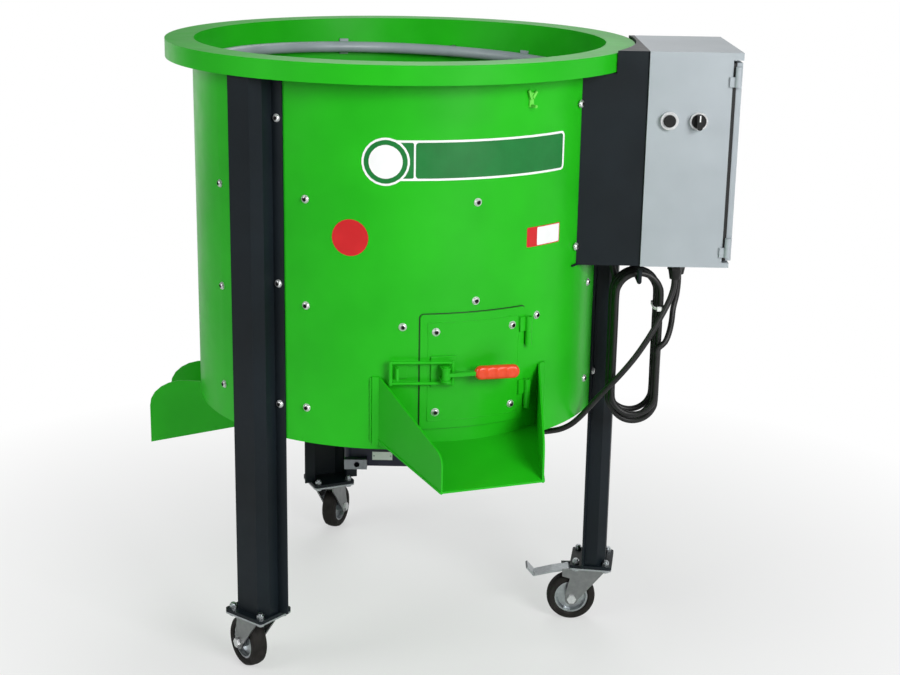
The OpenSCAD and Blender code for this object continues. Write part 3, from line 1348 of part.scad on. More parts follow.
// Cords
module motor_cable() { color(black) in_frame() tube(motor_route, cord_r, 8); }
module power_cord_lead() {
    color(black) in_frame() tube(concat(lead_route,
        [for (h = [26, 13, 0]) coil_start + [0, 0, cord_d + h]]), cord_r, 8);
}
module power_cord_coil() { color(black) in_frame() tube(coil_route, cord_r, 6); }
module power_cord_tail() {
    top = coil_end + [0, 0, cord_d];
    color(black) in_frame() tube([top, top + [0, 0, 12], plug_spot + [2, 7, -44], plug_spot + [1, 3, -26],
        plug_spot - [0, 0, 12], plug_spot], cord_r, 8);
}
module power_plug() {
    color(black) in_frame() translate(plug_spot) {
        cylinder(r1 = cord_r + 1.5, r2 = cord_r + 5, h = relief_l);
        translate([0, 0, relief_l]) cylinder(r = plug_r, h = plug_l);
        for (s = [-1, 1]) translate([0, s * 9.5, relief_l + plug_l]) cylinder(r = 2.4, h = 19);
    }
}

drum_shell();
drum_rim();
drum_floor();
wall_liners();
wall_screws();
leg_front_left();
leg_right();
leg_rear();
base_plates();
caster_plates();
plate_bolts();
spray_ring();
water_inlet();
discharge_chute();
waste_chute();
gate_hinge_fixed();
clamp_catch();
control_bracket();
hooks();
enclosure_body();
door_gasket();
cable_glands();
starter_gear();
switch_bezels();
gearbox_housing();
gearbox_flange();
motor_body();
fan_cowl();
terminal_box();
motor_cable();
power_cord_lead();
power_cord_coil();
power_cord_tail();
power_plug();
rotor_disc();
rotor_bars();
rotor_shaft();
worm_wheel();
worm_shaft();
gate_door();
gate_liner();
gate_screws();
clamp_base();
clamp_handle();
clamp_grip();
clamp_hook();
push_button();
selector_knob();
enclosure_door();
door_lock();
caster_fork_left();
caster_hub_left();
caster_tyre_left();
caster_fork_right();
caster_hub_right();
caster_tyre_right();
brake_pedal();
caster_fork_rear();
caster_hub_rear();
caster_tyre_rear();
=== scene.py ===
# %% [markdown]
# # A drum walnut huller on three caster legs
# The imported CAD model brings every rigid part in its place. This lesson adds what CAD leaves plain: the
# rubber cords, the stickers and weld beads, and a finish for each surface. Lengths in the text are
# millimetres, because sheet metal is drawn that way; Blender gets metres.

# %% Load the CAD frame
import json
import math

import bmesh
import bpy
from mathutils import Matrix, Vector

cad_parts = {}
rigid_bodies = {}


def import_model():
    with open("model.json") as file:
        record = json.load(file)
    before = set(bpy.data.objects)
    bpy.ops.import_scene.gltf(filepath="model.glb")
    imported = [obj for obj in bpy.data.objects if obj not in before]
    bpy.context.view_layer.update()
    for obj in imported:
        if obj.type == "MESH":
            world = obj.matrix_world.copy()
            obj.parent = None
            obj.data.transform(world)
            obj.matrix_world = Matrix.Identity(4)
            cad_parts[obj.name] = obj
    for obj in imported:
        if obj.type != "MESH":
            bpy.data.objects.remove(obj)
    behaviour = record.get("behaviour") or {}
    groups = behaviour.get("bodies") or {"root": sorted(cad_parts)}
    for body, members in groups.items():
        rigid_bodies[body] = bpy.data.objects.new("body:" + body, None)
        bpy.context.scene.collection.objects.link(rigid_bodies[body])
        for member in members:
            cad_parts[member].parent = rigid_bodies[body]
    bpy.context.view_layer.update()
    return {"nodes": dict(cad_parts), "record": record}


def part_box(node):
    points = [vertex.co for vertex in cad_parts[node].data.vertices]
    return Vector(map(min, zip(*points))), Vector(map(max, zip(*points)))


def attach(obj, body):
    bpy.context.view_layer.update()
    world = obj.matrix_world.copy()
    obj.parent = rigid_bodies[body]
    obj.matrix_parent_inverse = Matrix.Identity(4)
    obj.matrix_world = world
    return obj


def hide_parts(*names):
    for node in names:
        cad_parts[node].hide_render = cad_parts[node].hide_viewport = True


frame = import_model()
nodes = frame["nodes"]
MM = 0.001
drum_low, drum_high = (Vector(corner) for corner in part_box("drum_shell"))
drum_axis = Vector(((drum_low.x + drum_high.x) / 2, (drum_low.y + drum_high.y) / 2, 0))
drum_r = (drum_high.x - drum_low.x) / 2 / MM
rim_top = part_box("drum_rim")[1][2] / MM
print("CAD nodes:", len(nodes), "drum radius:", round(drum_r, 1), "rim height:", round(rim_top, 1))


# %% [markdown]
# ## Places on the drum
# Almost everything is measured from the drum's axis, so two small helpers do the arithmetic. One takes
# plain x, y, z from the axis. The other takes an angle to the right of the front, a radius and a height,
# which is how a fitter marks out a drum with a tape.

# %% Helpers for places
def place(x, y, z):
    """A point x, y, z millimetres from the drum axis and the ground, in the frame's metres."""
    return drum_axis + Vector((x, y, z)) * MM


def on_drum(angle, radius, height):
    """A point by its angle to the right of the front, its radius and its height."""
    turn = math.radians(angle)
    return place(radius * math.sin(turn), -radius * math.cos(turn), height)


# %% [markdown]
# ## The camera
# The camera stands where the photographer stood. Its distance, height and tilt were fitted to the two
# ellipses of the rim and the drum's bottom edge, and the focal length follows from how fast the legs
# converge.

# %% Camera
PHOTO_WIDTH = 900
FOCAL_PIXELS = 1647.7
camera_spot = place(88.3, -2822.4, 1334.1)
yaw, pitch, roll = 0.0014, 0.2825, 0.0173
forward = Vector((math.sin(yaw) * math.cos(pitch), math.cos(yaw) * math.cos(pitch), -math.sin(pitch)))
level_right = Vector((math.cos(yaw), -math.sin(yaw), 0))
level_up = level_right.cross(forward)
right = math.cos(roll) * level_right + math.sin(roll) * level_up
up = math.cos(roll) * level_up - math.sin(roll) * level_right
camera_data = bpy.data.cameras.new("photo_camera")
camera_data.sensor_width = 36
camera_data.sensor_fit = "HORIZONTAL"
camera_data.lens = FOCAL_PIXELS / PHOTO_WIDTH * camera_data.sensor_width
camera = bpy.data.objects.new("photo_camera", camera_data)
bpy.context.collection.objects.link(camera)
turned = Matrix((right, up, -forward)).transposed().to_4x4()
camera.matrix_world = Matrix.Translation(camera_spot) @ turned
bpy.context.scene.camera = camera
print("lens:", round(camera_data.lens, 1), "mm")


# %% [markdown]
# ## Colours and nodes
# Every colour is written as the sRGB hex value that a paint card or a colour picker shows, and one
# function turns it to the linear numbers that shaders use. One more function adds a node with its
# settings and links.

# %% Helpers for materials
def linear(hex_colour):
    """An sRGB hex colour as linear RGBA."""
    parts = [int(hex_colour[i:i + 2], 16) / 255 for i in (1, 3, 5)]
    return [c / 12.92 if c <= 0.04045 else ((c + 0.055) / 1.055) ** 2.4 for c in parts] + [1.0]


def add(tree, kind, inputs=None, **settings):
    """A node with its settings; each input is a plain value or another node's output."""
    made = tree.nodes.new(kind)
    for name, value in settings.items():
        setattr(made, name, value)
    for name, value in (inputs or {}).items():
        if isinstance(value, bpy.types.NodeSocket):
            tree.links.new(value, made.inputs[name])
        else:
            made.inputs[name].default_value = value
    return made


def blank_material(name, **shader):
    """A material with one Principled shader; returns it, its tree and that shader."""
    material = bpy.data.materials.new(name)
    material.use_nodes = True
    tree = material.node_tree
    tree.nodes.clear()
    surface = add(tree, "ShaderNodeBsdfPrincipled", shader)
    output = add(tree, "ShaderNodeOutputMaterial")
    tree.links.new(surface.outputs["BSDF"], output.inputs["Surface"])
    print("finish:", name)
    return material, tree, surface


def per_metre(size_mm):
    """The texture scale that makes a pattern's cell that many millimetres wide."""
    return 1000 / size_mm


def cloud(tree, size_mm, detail=3.0, stretch=(1, 1, 1)):
    """A noise of that cell size on the part's own coordinates, drawn out along an axis by stretch."""
    where = add(tree, "ShaderNodeTexCoord")
    mapped = add(tree, "ShaderNodeMapping", {"Vector": where.outputs["Object"], "Scale": stretch})
    return add(tree, "ShaderNodeTexNoise", {"Vector": mapped.outputs["Vector"], "Scale": per_metre(size_mm),
                                            "Detail": detail, "Roughness": 0.55}).outputs["Fac"]


def tint(tree, surface, factor, dark, light, low=0.35, high=0.65):
    """The base colour runs from dark to light along factor."""
    ramp = add(tree, "ShaderNodeValToRGB", {"Fac": factor})
    ramp.color_ramp.elements[0].position = low
    ramp.color_ramp.elements[0].color = linear(dark)
    ramp.color_ramp.elements[1].position = high
    ramp.color_ramp.elements[1].color = linear(light)
    tree.links.new(ramp.outputs["Color"], surface.inputs["Base Color"])


def roughen(tree, surface, factor, low, high):
    """The roughness runs from low to high along factor."""
    spread = add(tree, "ShaderNodeMapRange", {"Value": factor, "From Min": 0.3, "From Max": 0.7,
                                              "To Min": low, "To Max": high})
    tree.links.new(spread.outputs["Result"], surface.inputs["Roughness"])


def emboss(tree, surface, factor, depth_mm, strength=0.4):
    """A bump of that depth along factor."""
    bump = add(tree, "ShaderNodeBump", {"Height": factor, "Distance": depth_mm * MM, "Strength": strength})
    tree.links.new(bump.outputs["Normal"], surface.inputs["Normal"])


# %% [markdown]
# ## The two cords
# A rubber-sheathed mains lead of 10 mm leaves the switch box, hangs in an elongated coil on a rod hook
# and ends in its plug behind the bracket. A second cable of the same kind runs from the box under the
# drum to the motor. Both are curves with a round bevel, because a curve keeps a cord's thickness the same
# in every bend. The CAD routes are repeated here, and a spline through their points rounds them. The
# bevel is 1 m and each point's radius scales it to 5 mm, since Blender counts the points' radius in a
# curve's bounds.

# %% Cord routes
CORD_D = 10
motor_route = [
    (463, -168, 672), (462, -169, 657), (457, -172, 639), (448, -177, 620), (437, -182, 600),
    (426, -186, 580), (414, -188, 560), (401, -189, 540), (387, -189, 521), (372, -188, 502),
    (356, -186, 483), (340, -182, 463), (326, -178, 444), (313, -171, 426), (300, -160, 410),
    (286, -145, 397), (272, -127, 387), (258, -107, 378), (244, -85, 370), (230, -61, 363),
    (217, -36, 358), (205, -10, 355), (194, 17, 353), (184, 44, 353), (176, 70, 353),
    (172, 85, 353), (170, 94, 353), (170, 103, 353)]
lead_route = [
    (474, -132, 672), (474, -133, 655), (472, -136, 635), (467, -142, 614), (464, -153, 594),
    (459, -165, 577), (452, -173, 563)]
tail_route = [(363, -129, 681), (362, -133, 699), (361, -136, 713), (361, -136, 725)]
print("motor cable points:", len(motor_route))

# %% Coil of the mains lead
COIL_X, COIL_Y, COIL_TOP, COIL_LOW = 402, -177, 680, 454
LOOP_HALF, LOOP_PITCH, LOOPS = 37, 11, 4
SIDE_STEPS, ROUND_STEPS = 4, 8
OVER_HOOK = 2 * SIDE_STEPS + ROUND_STEPS
LOOP_RINGS = OVER_HOOK + ROUND_STEPS
COIL_FIRST, COIL_LAST = 3, LOOPS * LOOP_RINGS + OVER_HOOK
DROOP, DROOP_TURN, SWAY, SWAY_TURN = 9, 130, 3, 97
LEAD_IN, LEAD_OUT = (26, 13, 0), (0, 12)
loop_top_z = COIL_TOP - LOOP_HALF


def coil_point(i):
    """A point of the hanging coil: down the right side, round, up the left side and over the hook."""
    k, j = divmod(i, LOOP_RINGS)
    t = i / LOOP_RINGS
    low = COIL_LOW + DROOP * (1 + math.cos(math.radians(DROOP_TURN * k)))
    turn = math.pi / ROUND_STEPS
    under, rising, over = j - SIDE_STEPS, j - SIDE_STEPS - ROUND_STEPS, j - OVER_HOOK
    if under < 0:
        x, z = LOOP_HALF, loop_top_z - (loop_top_z - low) * j / SIDE_STEPS
    elif rising < 0:
        x, z = LOOP_HALF * math.cos(under * turn), low - LOOP_HALF * math.sin(under * turn)
    elif over < 0:
        x, z = -LOOP_HALF, low + (loop_top_z - low) * rising / SIDE_STEPS
    else:
        x, z = -LOOP_HALF * math.cos(over * turn), loop_top_z + LOOP_HALF * math.sin(over * turn)
    sway = SWAY * math.sin(math.radians(SWAY_TURN * t))
    return (COIL_X + sway + x, COIL_Y + LOOP_PITCH * t, z)


def raised(point, by):
    """The point moved up."""
    return (point[0], point[1], point[2] + by)


coil_start, coil_end = coil_point(COIL_FIRST), coil_point(COIL_LAST)
mains_route = (lead_route + [raised(coil_start, CORD_D + h) for h in LEAD_IN]
               + [coil_point(i) for i in range(COIL_FIRST, COIL_LAST + 1)]
               + [raised(coil_end, CORD_D + h) for h in LEAD_OUT] + tail_route)
print("mains lead points:", len(mains_route))


# %% Cord curves
def smooth_line(points, steps):
    """Catmull-Rom points through the route, with steps pieces between two neighbours."""
    spots = [Vector(p) for p in points]
    spots = [2 * spots[0] - spots[1]] + spots + [2 * spots[-1] - spots[-2]]
    line = []
    for a, b, c, d in zip(spots, spots[1:], spots[2:], spots[3:]):
        for s in range(steps):
            t = s / steps
            line.append(0.5 * (2 * b + (c - a) * t + (2 * a - 5 * b + 4 * c - d) * t ** 2
                               + (3 * b - 3 * c + d - a) * t ** 3))
    return line + [spots[-2]]


def cord_curve(name, route, steps):
    """A round cord along the route, as one curve; returns it and its length in metres."""
    line = [place(*p) for p in smooth_line(route, steps)]
    data = bpy.data.curves.new(name, "CURVE")
    data.dimensions = "3D"
    data.bevel_depth = 1
    data.bevel_resolution = 4
    data.use_fill_caps = True
    spline = data.splines.new("POLY")
    spline.points.add(len(line) - 1)
    for point, spot in zip(spline.points, line):
        point.co = (*spot, 1)
        point.radius = CORD_D / 2 * MM
    spline.use_smooth = True
    made = bpy.data.objects.new(name, data)
    bpy.context.collection.objects.link(made)
    length = sum((b - a).length for a, b in zip(line, line[1:]))
    print(name, "length:", round(length, 3), "m")
    return made, length


mains_lead, mains_length = cord_curve("mains_lead", mains_route, 3)
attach(mains_lead, "frame")
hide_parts("power_cord_lead", "power_cord_coil", "power_cord_tail")
motor_lead, motor_length = cord_curve("motor_lead", motor_route, 4)
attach(motor_lead, "frame")
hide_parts("motor_cable")

# %% [markdown]
# ## Green powder coat
# The drum, rim, chutes and gate are sheet steel with a glossy green powder coat: pigment under a smooth
# clear skin of polyester, IOR about 1.5. The powder melts into a faint orange peel with humps a few
# millimetres apart. A soft, large cloud of tone stands for the uneven film, and the peel is drawn at 5 mm
# so that it shows at all. The skin's mirror is set lower than for a fresh coat, because the photograph's
# paint has a deep, little hazed tone.

# %% Green powder coat
green_coat, tree, surface = blank_material("green_powder_coat", **{"IOR": 1.5, "Specular IOR Level": 0.28})
tint(tree, surface, cloud(tree, 180), "#1CAE12", "#23BB17")
roughen(tree, surface, cloud(tree, 60), 0.3, 0.4)
emboss(tree, surface, cloud(tree, 5, 1.0), 0.15, 0.12)

# %% [markdown]
# ## Anthracite powder coat
# The legs, base plates and bracket have the same kind of coat in near black with a blue cast, but satin:
# the film has matting grains that scatter the gloss, so its highlights are broad.

# %% Anthracite powder coat
anthracite_coat, tree, surface = blank_material("anthracite_powder_coat",
                                               **{"IOR": 1.5, "Specular IOR Level": 0.25})
tint(tree, surface, cloud(tree, 140), "#0F171C", "#141D23")
roughen(tree, surface, cloud(tree, 40), 0.42, 0.52)
emboss(tree, surface, cloud(tree, 3, 1.0), 0.1, 0.12)

# %% [markdown]
# ## Structured grey coat
# Switch boxes come in a pale grey coat with a fine leather-like structure, about 1 mm from hump to hump.
# It is drawn at 3 mm, since finer grain would vanish at this distance.

# %% Structured grey coat
grey_coat, tree, surface = blank_material("structured_grey_coat", **{"IOR": 1.5})
tint(tree, surface, cloud(tree, 120), "#A3ABB0", "#ABB3B8")
roughen(tree, surface, cloud(tree, 30), 0.46, 0.56)
emboss(tree, surface, cloud(tree, 3, 2.0), 0.2, 0.2)

# %% [markdown]
# ## Zinc-plated steel
# Screws, bolts, casters and the lock are steel with a bright zinc plate. Zinc grows in small crystals, so
# the plate is a touch cloudy, with a cool grey that varies over a few millimetres. A metal keeps the
# default IOR. The caster forks are pressed from sheet, and the press has dulled their plate to a darker,
# softer grey.

# %% Zinc-plated steel
zinc_plate, tree, surface = blank_material("zinc_plated_steel", **{"Metallic": 1.0})
tint(tree, surface, cloud(tree, 6), "#B5BABD", "#C3C8CB")
roughen(tree, surface, cloud(tree, 9), 0.28, 0.36)
pressed_zinc, tree, surface = blank_material("pressed_zinc_plate", **{"Metallic": 1.0})
tint(tree, surface, cloud(tree, 12), "#8F9192", "#9B9D9D")
roughen(tree, surface, cloud(tree, 15), 0.34, 0.42)

# %% [markdown]
# ## Stainless screw heads
# The dome-head screws of the drum and the gate are stainless steel, cold-headed and tumbled, which dulls
# the mirror to an even satin. Their colour is set paler than bare stainless as a painted reflection, so
# the heads read lighter than the zinc plate around them.

# %% Stainless screw heads
# The pale steel colour is a painted reflection.
stainless, tree, surface = blank_material("stainless_with_painted_reflection", **{"Metallic": 0.8})
tint(tree, surface, cloud(tree, 5), "#E2E4E5", "#F0F1F1")
roughen(tree, surface, cloud(tree, 4), 0.3, 0.42)

# %% [markdown]
# ## Rubbed steel
# The rotor, its bars, the shaft and the liners are bare steel that nuts and water keep rubbing. The
# rubbing leaves fine scratches, drawn here as a noise stretched along the height, about 2 mm apart.

# %% Rubbed steel
rubbed_steel, tree, surface = blank_material("rubbed_steel", **{"Metallic": 1.0})
tint(tree, surface, cloud(tree, 45), "#8A8E92", "#9DA1A5")
roughen(tree, surface, cloud(tree, 2, 2.0, (1, 1, 0.05)), 0.32, 0.5)

# %% [markdown]
# ## Navy enamel
# Gearboxes and motors are cast iron and aluminium under a sprayed blue enamel. The casting's skin shows
# through as a low, uneven texture with humps about 6 mm across.

# %% Navy enamel
navy_enamel, tree, surface = blank_material("navy_enamel", **{"IOR": 1.5})
tint(tree, surface, cloud(tree, 70), "#10122B", "#171A3A")
roughen(tree, surface, cloud(tree, 25), 0.36, 0.5)
emboss(tree, surface, cloud(tree, 6, 2.0), 0.3, 0.25)

# %% [markdown]
# ## Rubbers
# The tyres are moulded black rubber, dull and greyed by dust. The cords' rubber sheath is smoother. Both
# have IOR about 1.52 and nearly no colour of their own.

# %% Rubbers
tyre_rubber, tree, surface = blank_material("tyre_rubber", **{"IOR": 1.52, "Specular IOR Level": 0.3})
tint(tree, surface, cloud(tree, 25), "#161412", "#221F1C")
roughen(tree, surface, cloud(tree, 12), 0.6, 0.8)
emboss(tree, surface, cloud(tree, 2, 2.0), 0.15, 0.2)
sheath_rubber, tree, surface = blank_material("cord_sheath_rubber", **{"IOR": 1.52})
tint(tree, surface, cloud(tree, 40), "#0D0D0D", "#151515")
roughen(tree, surface, cloud(tree, 20), 0.42, 0.55)
emboss(tree, surface, cloud(tree, 3, 1.0), 0.1, 0.1)

# %% [markdown]
# ## Moulded plastics
# Glands, knobs, plug and fan are black polyamide with a satin mould texture. The clamp's grip is soft
# red-orange PVC, dipped and glossy. The spray ring is grey PVC pipe, which has faint lines from the
# extruder.

# %% Moulded plastics
black_polyamide, tree, surface = blank_material("black_polyamide", **{"IOR": 1.53, "Specular IOR Level": 0.3})
tint(tree, surface, cloud(tree, 30), "#121212", "#1A1A1A")
roughen(tree, surface, cloud(tree, 8), 0.4, 0.52)
grip_pvc, tree, surface = blank_material("dipped_red_pvc", **{"IOR": 1.53})
tint(tree, surface, cloud(tree, 35), "#E24119", "#EA4A21")
roughen(tree, surface, cloud(tree, 14), 0.3, 0.42)
emboss(tree, surface, cloud(tree, 4, 1.0), 0.1, 0.15)
pipe_pvc, tree, surface = blank_material("grey_pvc_pipe", **{"IOR": 1.53})
tint(tree, surface, cloud(tree, 60), "#929CA2", "#9EA8AE")
roughen(tree, surface, cloud(tree, 3, 1.0, (1, 1, 8)), 0.34, 0.46)

# %% [markdown]
# ## Cast bronze
# The worm wheel inside the gearbox is cast bronze, a warm metal with a slightly uneven skin.

# %% Cast bronze
bronze, tree, surface = blank_material("cast_bronze", **{"Metallic": 1.0})
tint(tree, surface, cloud(tree, 20), "#A8844E", "#BC985F")
roughen(tree, surface, cloud(tree, 6), 0.35, 0.5)

# %% [markdown]
# ## Dressing the CAD nodes
# Each record slot maps to one finish, so a node takes the material of its slot and nothing is left plain.

# %% Dress the CAD nodes
slot_finish = {
    "green_paint": green_coat, "anthracite_paint": anthracite_coat, "box_paint": grey_coat,
    "navy_paint": navy_enamel, "zinc_steel": zinc_plate, "plain_steel": rubbed_steel, "bronze": bronze,
    "tyre_rubber": tyre_rubber, "cord_rubber": sheath_rubber, "black_plastic": black_polyamide,
    "red_plastic": grip_pvc, "grey_pipe": pipe_pvc}
for entry in frame["record"]["subparts"]:
    dressed = nodes[entry["node"]]
    dressed.data.materials.clear()
    dressed.data.materials.append(slot_finish[entry["material_slot"]])
for cord in (mains_lead, motor_lead):
    cord.data.materials.append(sheath_rubber)
print("finishes in use:", len(slot_finish))

# %% [markdown]
# A few nodes need a second finish on some of their faces. The small hook at the rim is green like the
# drum, in a lighter green that is a painted highlight, while the cord's hook is dark. The hex sockets of
# the screws are painted near black as shade, which also stands for the dark reflection on the domes, so
# they read as dark dots: a socket's faces are those near a screw's axis, from the flat of its head down
# to the socket's floor.

# %% Rim hook with painted highlight
RIM_HOOK_REACH = 200
# The hook is green like the drum; its lighter green is a painted highlight.
hook_highlight_green, tree, surface = blank_material("green_with_painted_highlight", **{"IOR": 1.5})
tint(tree, surface, cloud(tree, 30), "#63D645", "#72DF53")
roughen(tree, surface, cloud(tree, 10), 0.35, 0.45)
hooks = nodes["hooks"].data
hooks.materials.append(hook_highlight_green)
for face in hooks.polygons:
    face.material_index = int(face.center.z > (rim_top - RIM_HOOK_REACH) * MM)
print("hook faces:", len(hooks.polygons))

# %% Painted shade in the screw sockets
# The near-black socket colour is painted shade, and it also stands for the dark reflection on the domes.
socket_painted_shade, tree, surface = blank_material("socket_painted_shade", **{"IOR": 1.5})
tint(tree, surface, cloud(tree, 2), "#0B0A09", "#17140F")
roughen(tree, surface, cloud(tree, 1), 0.7, 0.9)
FLAT_R, FLAT_PLAY, SOCKET_DEEP, END_POINTS = 3.3, 0.1, 2.5, 6


def from_axis(point):
    """The distance of a point from the drum axis."""
    return (point.xy - drum_axis.xy).length


def darken_sockets(mesh):
    """Gives the heads the pale steel and the socket faces the painted shade; returns how many faces are dark.
    """
    shape = bmesh.new()
    shape.from_mesh(mesh)
    bmesh.ops.remove_doubles(shape, verts=shape.verts, dist=0.001 * MM)
    left, axes = set(shape.verts), []
    while left:
        stack, screw = [left.pop()], []
        while stack:
            vert = stack.pop()
            screw.append(vert.co.copy())
            fresh = {edge.other_vert(vert) for edge in vert.link_edges} & left
            left -= fresh
            stack += fresh
        screw.sort(key=from_axis)
        ends = (screw[:END_POINTS], screw[-END_POINTS:])
        tail, top = (sum(end, Vector()) / END_POINTS for end in ends)
        axes.append((top, (top - tail).normalized()))
    shape.free()
    dark = 0
    for face in mesh.polygons:
        top, axis = min(axes, key=lambda a: (a[0] - face.center).length)
        depth = (top - face.center).dot(axis)
        aside = (face.center - top + axis * depth).length
        inside = aside < FLAT_R * MM and -FLAT_PLAY * MM < depth < SOCKET_DEEP * MM
        face.material_index = int(inside)
        dark += inside
    mesh.materials[0] = stainless
    mesh.materials.append(socket_painted_shade)
    return dark


for name in ("wall_screws", "gate_screws"):
    print(name, "socket faces:", darken_sockets(nodes[name].data))

# %% [markdown]
# Each caster fork is one CAD node with its axle, so the bolt heads of the axle get the pale steel of the
# screw heads, with its painted reflection, by their place: they are the faces near the wheel's axis that
# lie outside the fork's cheeks. The switch bezels get that pale steel too.

# %% Axle heads and bezels
HEAD_R, HEAD_LONG = 9, 5.05
for joint in frame["record"]["behaviour"]["joints"]:
    if not joint["name"].startswith("wheel_"):
        continue
    fork = nodes["caster_" + joint["parent"]].data
    fork.materials[0] = pressed_zinc
    fork.materials.append(stainless)
    hub, axis = Vector(joint["pos_m"]), Vector(joint["axis"])
    near = [face for face in fork.polygons if (face.center - hub).cross(axis).length < HEAD_R * MM]
    outside = max(abs((face.center - hub).dot(axis)) for face in near) - HEAD_LONG * MM
    for face in near:
        face.material_index = int(abs((face.center - hub).dot(axis)) > outside)
    print(joint["parent"], "axle faces:", len(near))
nodes["switch_bezels"].data.materials[0] = stainless


# %% [markdown]
# ## Small pieces from lofts
# Stickers, beads, straps and plates are all skins through a row of equal rings: four corners for a flat
# strip, a dozen points for a bead. One loft function makes them, so each is a real closed solid with its
# own thickness.

# %% Loft helpers
def loft(rings, closed=False):
    """Points and faces of a skin through equal rings, capped at both ends or closed to a loop."""
    n = len(rings[0])
    points = [p for ring in rings for p in ring]
    faces = []
    for i in range(len(rings) if closed else len(rings) - 1):
        a, b = i * n, (i + 1) % len(rings) * n
        faces += [(a + j, a + (j + 1) % n, b + (j + 1) % n, b + j) for j in range(n)]
    if not closed:
        faces += [tuple(range(n)), tuple(range(len(points) - n, len(points)))]
    return points, faces


def make_piece(name, skins, material, body="frame", smooth=False):
    """One object of several skins, with its finish and the body that carries it."""
    mesh = bpy.data.meshes.new(name)
    shape = bmesh.new()
    for points, faces in skins:
        made = [shape.verts.new(p) for p in points]
        for face in faces:
            shape.faces.new([made[i] for i in face])
    bmesh.ops.recalc_face_normals(shape, faces=shape.faces)
    for face in shape.faces:
        face.smooth = smooth and len(face.verts) == 4
    shape.to_mesh(mesh)
    shape.free()
    mesh.materials.append(material)
    piece = bpy.data.objects.new(name, mesh)
    bpy.context.collection.objects.link(piece)
    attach(piece, body)
    print(name, "faces:", len(mesh.polygons))
    return piece


# %% [markdown]
# ## Stickers on the drum
# The vinyl stickers are left blank: a wide green panel with a white edge and a ring at its left end, a
# red disc and a small red and white one by the bracket. Each is a thin sheet bent to the drum, with round
# corners so that it doesn't peel. Prints are further sheets on top of the white one.

# %% Stickers on the drum
VINYL, STICKER_GAP, COLUMNS = 0.25, 0.05, 12


def sticker(angle, height, half_w, half_h, corner, layer=0, sheets=1):
    """A sheet with round corners on the drum, half_w along the wall and half_h up it.

    Its columns run round the left corners, along the middle and round the right corners. A disc has no
    middle, so its two halves share one column.
    """
    inner = drum_r + STICKER_GAP + layer * VINYL
    outer = inner + sheets * VINYL
    steps = [math.radians(a) for a in (6, 20, 35, 50, 65, 80, 90)]
    edge = [(half_w - corner + corner * math.cos(a), half_h - corner + corner * math.sin(a)) for a in steps]
    inside = half_w - corner
    columns = [(-s, h) for s, h in edge]
    columns += [(inside * i / COLUMNS, half_h) for i in range(1 - COLUMNS, COLUMNS) if inside > 1]
    columns += [(s, h) for s, h in reversed(edge)]
    if inside <= 1:
        columns.pop(len(edge))
    rings = []
    for s, h in columns:
        a = angle + math.degrees(s / drum_r)
        rings.append([on_drum(a, inner, height - h), on_drum(a, inner, height + h),
                      on_drum(a, outer, height + h), on_drum(a, outer, height - h)])
    return loft(rings)


def vinyl(name, dark, light):
    """A satin printed vinyl that is a little uneven from its squeegee marks."""
    material, tree, surface = blank_material(name, IOR=1.5)
    tint(tree, surface, cloud(tree, 50), dark, light)
    roughen(tree, surface, cloud(tree, 15, 2.0, (1, 1, 4)), 0.34, 0.44)
    return material


white_vinyl = vinyl("white_vinyl", "#F0F1F0", "#F8F8F7")
green_vinyl = vinyl("green_printed_vinyl", "#00702A", "#077A31")
red_vinyl = vinyl("red_printed_vinyl", "#C8161B", "#D21D21")
degree = math.radians(1) * drum_r
panel_z, ring_z, RING_A = rim_top - 149, rim_top - 151, -1.7
round_z, small_z = rim_top - 271, rim_top - 281
panel = sticker(24.1, panel_z, 25.8 * degree, 31, 8)
disc = sticker(RING_A, ring_z, 37, 37, 37, 0, 3)
ring_mid = sticker(RING_A, ring_z, 26, 26, 26, 4)
make_piece("panel_sheet", [panel, disc, ring_mid], white_vinyl)
prints = [sticker(2, panel_z, 3.3 * degree, 27.5, 3, 1), sticker(27.5, panel_z, 21.7 * degree, 27.5, 5, 1),
          sticker(RING_A, ring_z, 33.5, 33.5, 33.5, 3)]
make_piece("panel_print", prints, green_vinyl)
make_piece("round_sticker", [sticker(-10.7, round_z, 29, 29, 29)], red_vinyl)
make_piece("small_sticker", [sticker(43, small_z, 37, 16, 2)], red_vinyl)
small_print = sticker(44.6, small_z, 25.5, 14.5, 1.5, 1)
make_piece("small_sticker_print", [small_print], white_vinyl)


# %% [markdown]
# ## Weld beads
# The chute's flanges are welded to the drum. A hand weld leaves a rounded bead with ripples where each
# drop froze. The ripples are really about 2 mm apart; they are drawn 5 mm apart so that they show.

# %% Weld beads
RIPPLE_STEP, RIPPLE, BEAD_END, BEAD_POINTS = 1.25, 0.14, 0.5, 10


def bead(path, radius):
    """A bead of that radius along the path's points, with a ripple every four steps."""
    line = []
    for a, b in zip(path, path[1:]):
        steps = max(2, round((b - a).length / MM / RIPPLE_STEP))
        line += [a.lerp(b, i / steps) for i in range(steps)]
    line.append(path[-1])
    rings = []
    for i, spot in enumerate(line):
        along = (line[min(i + 1, len(line) - 1)] - line[max(i - 1, 0)]).normalized()
        out = Vector((spot.x - drum_axis.x, spot.y - drum_axis.y, 0)).normalized()
        side = along.cross(out).normalized()
        out = side.cross(along)
        tip = i in (0, len(line) - 1)
        swell = radius * MM * (BEAD_END if tip else 1 + RIPPLE * math.sin(i * math.pi / 2))
        rings.append([spot + swell * (side * math.cos(t) + out * math.sin(t))
                      for t in (math.tau * k / BEAD_POINTS for k in range(BEAD_POINTS))])
    return loft(rings)


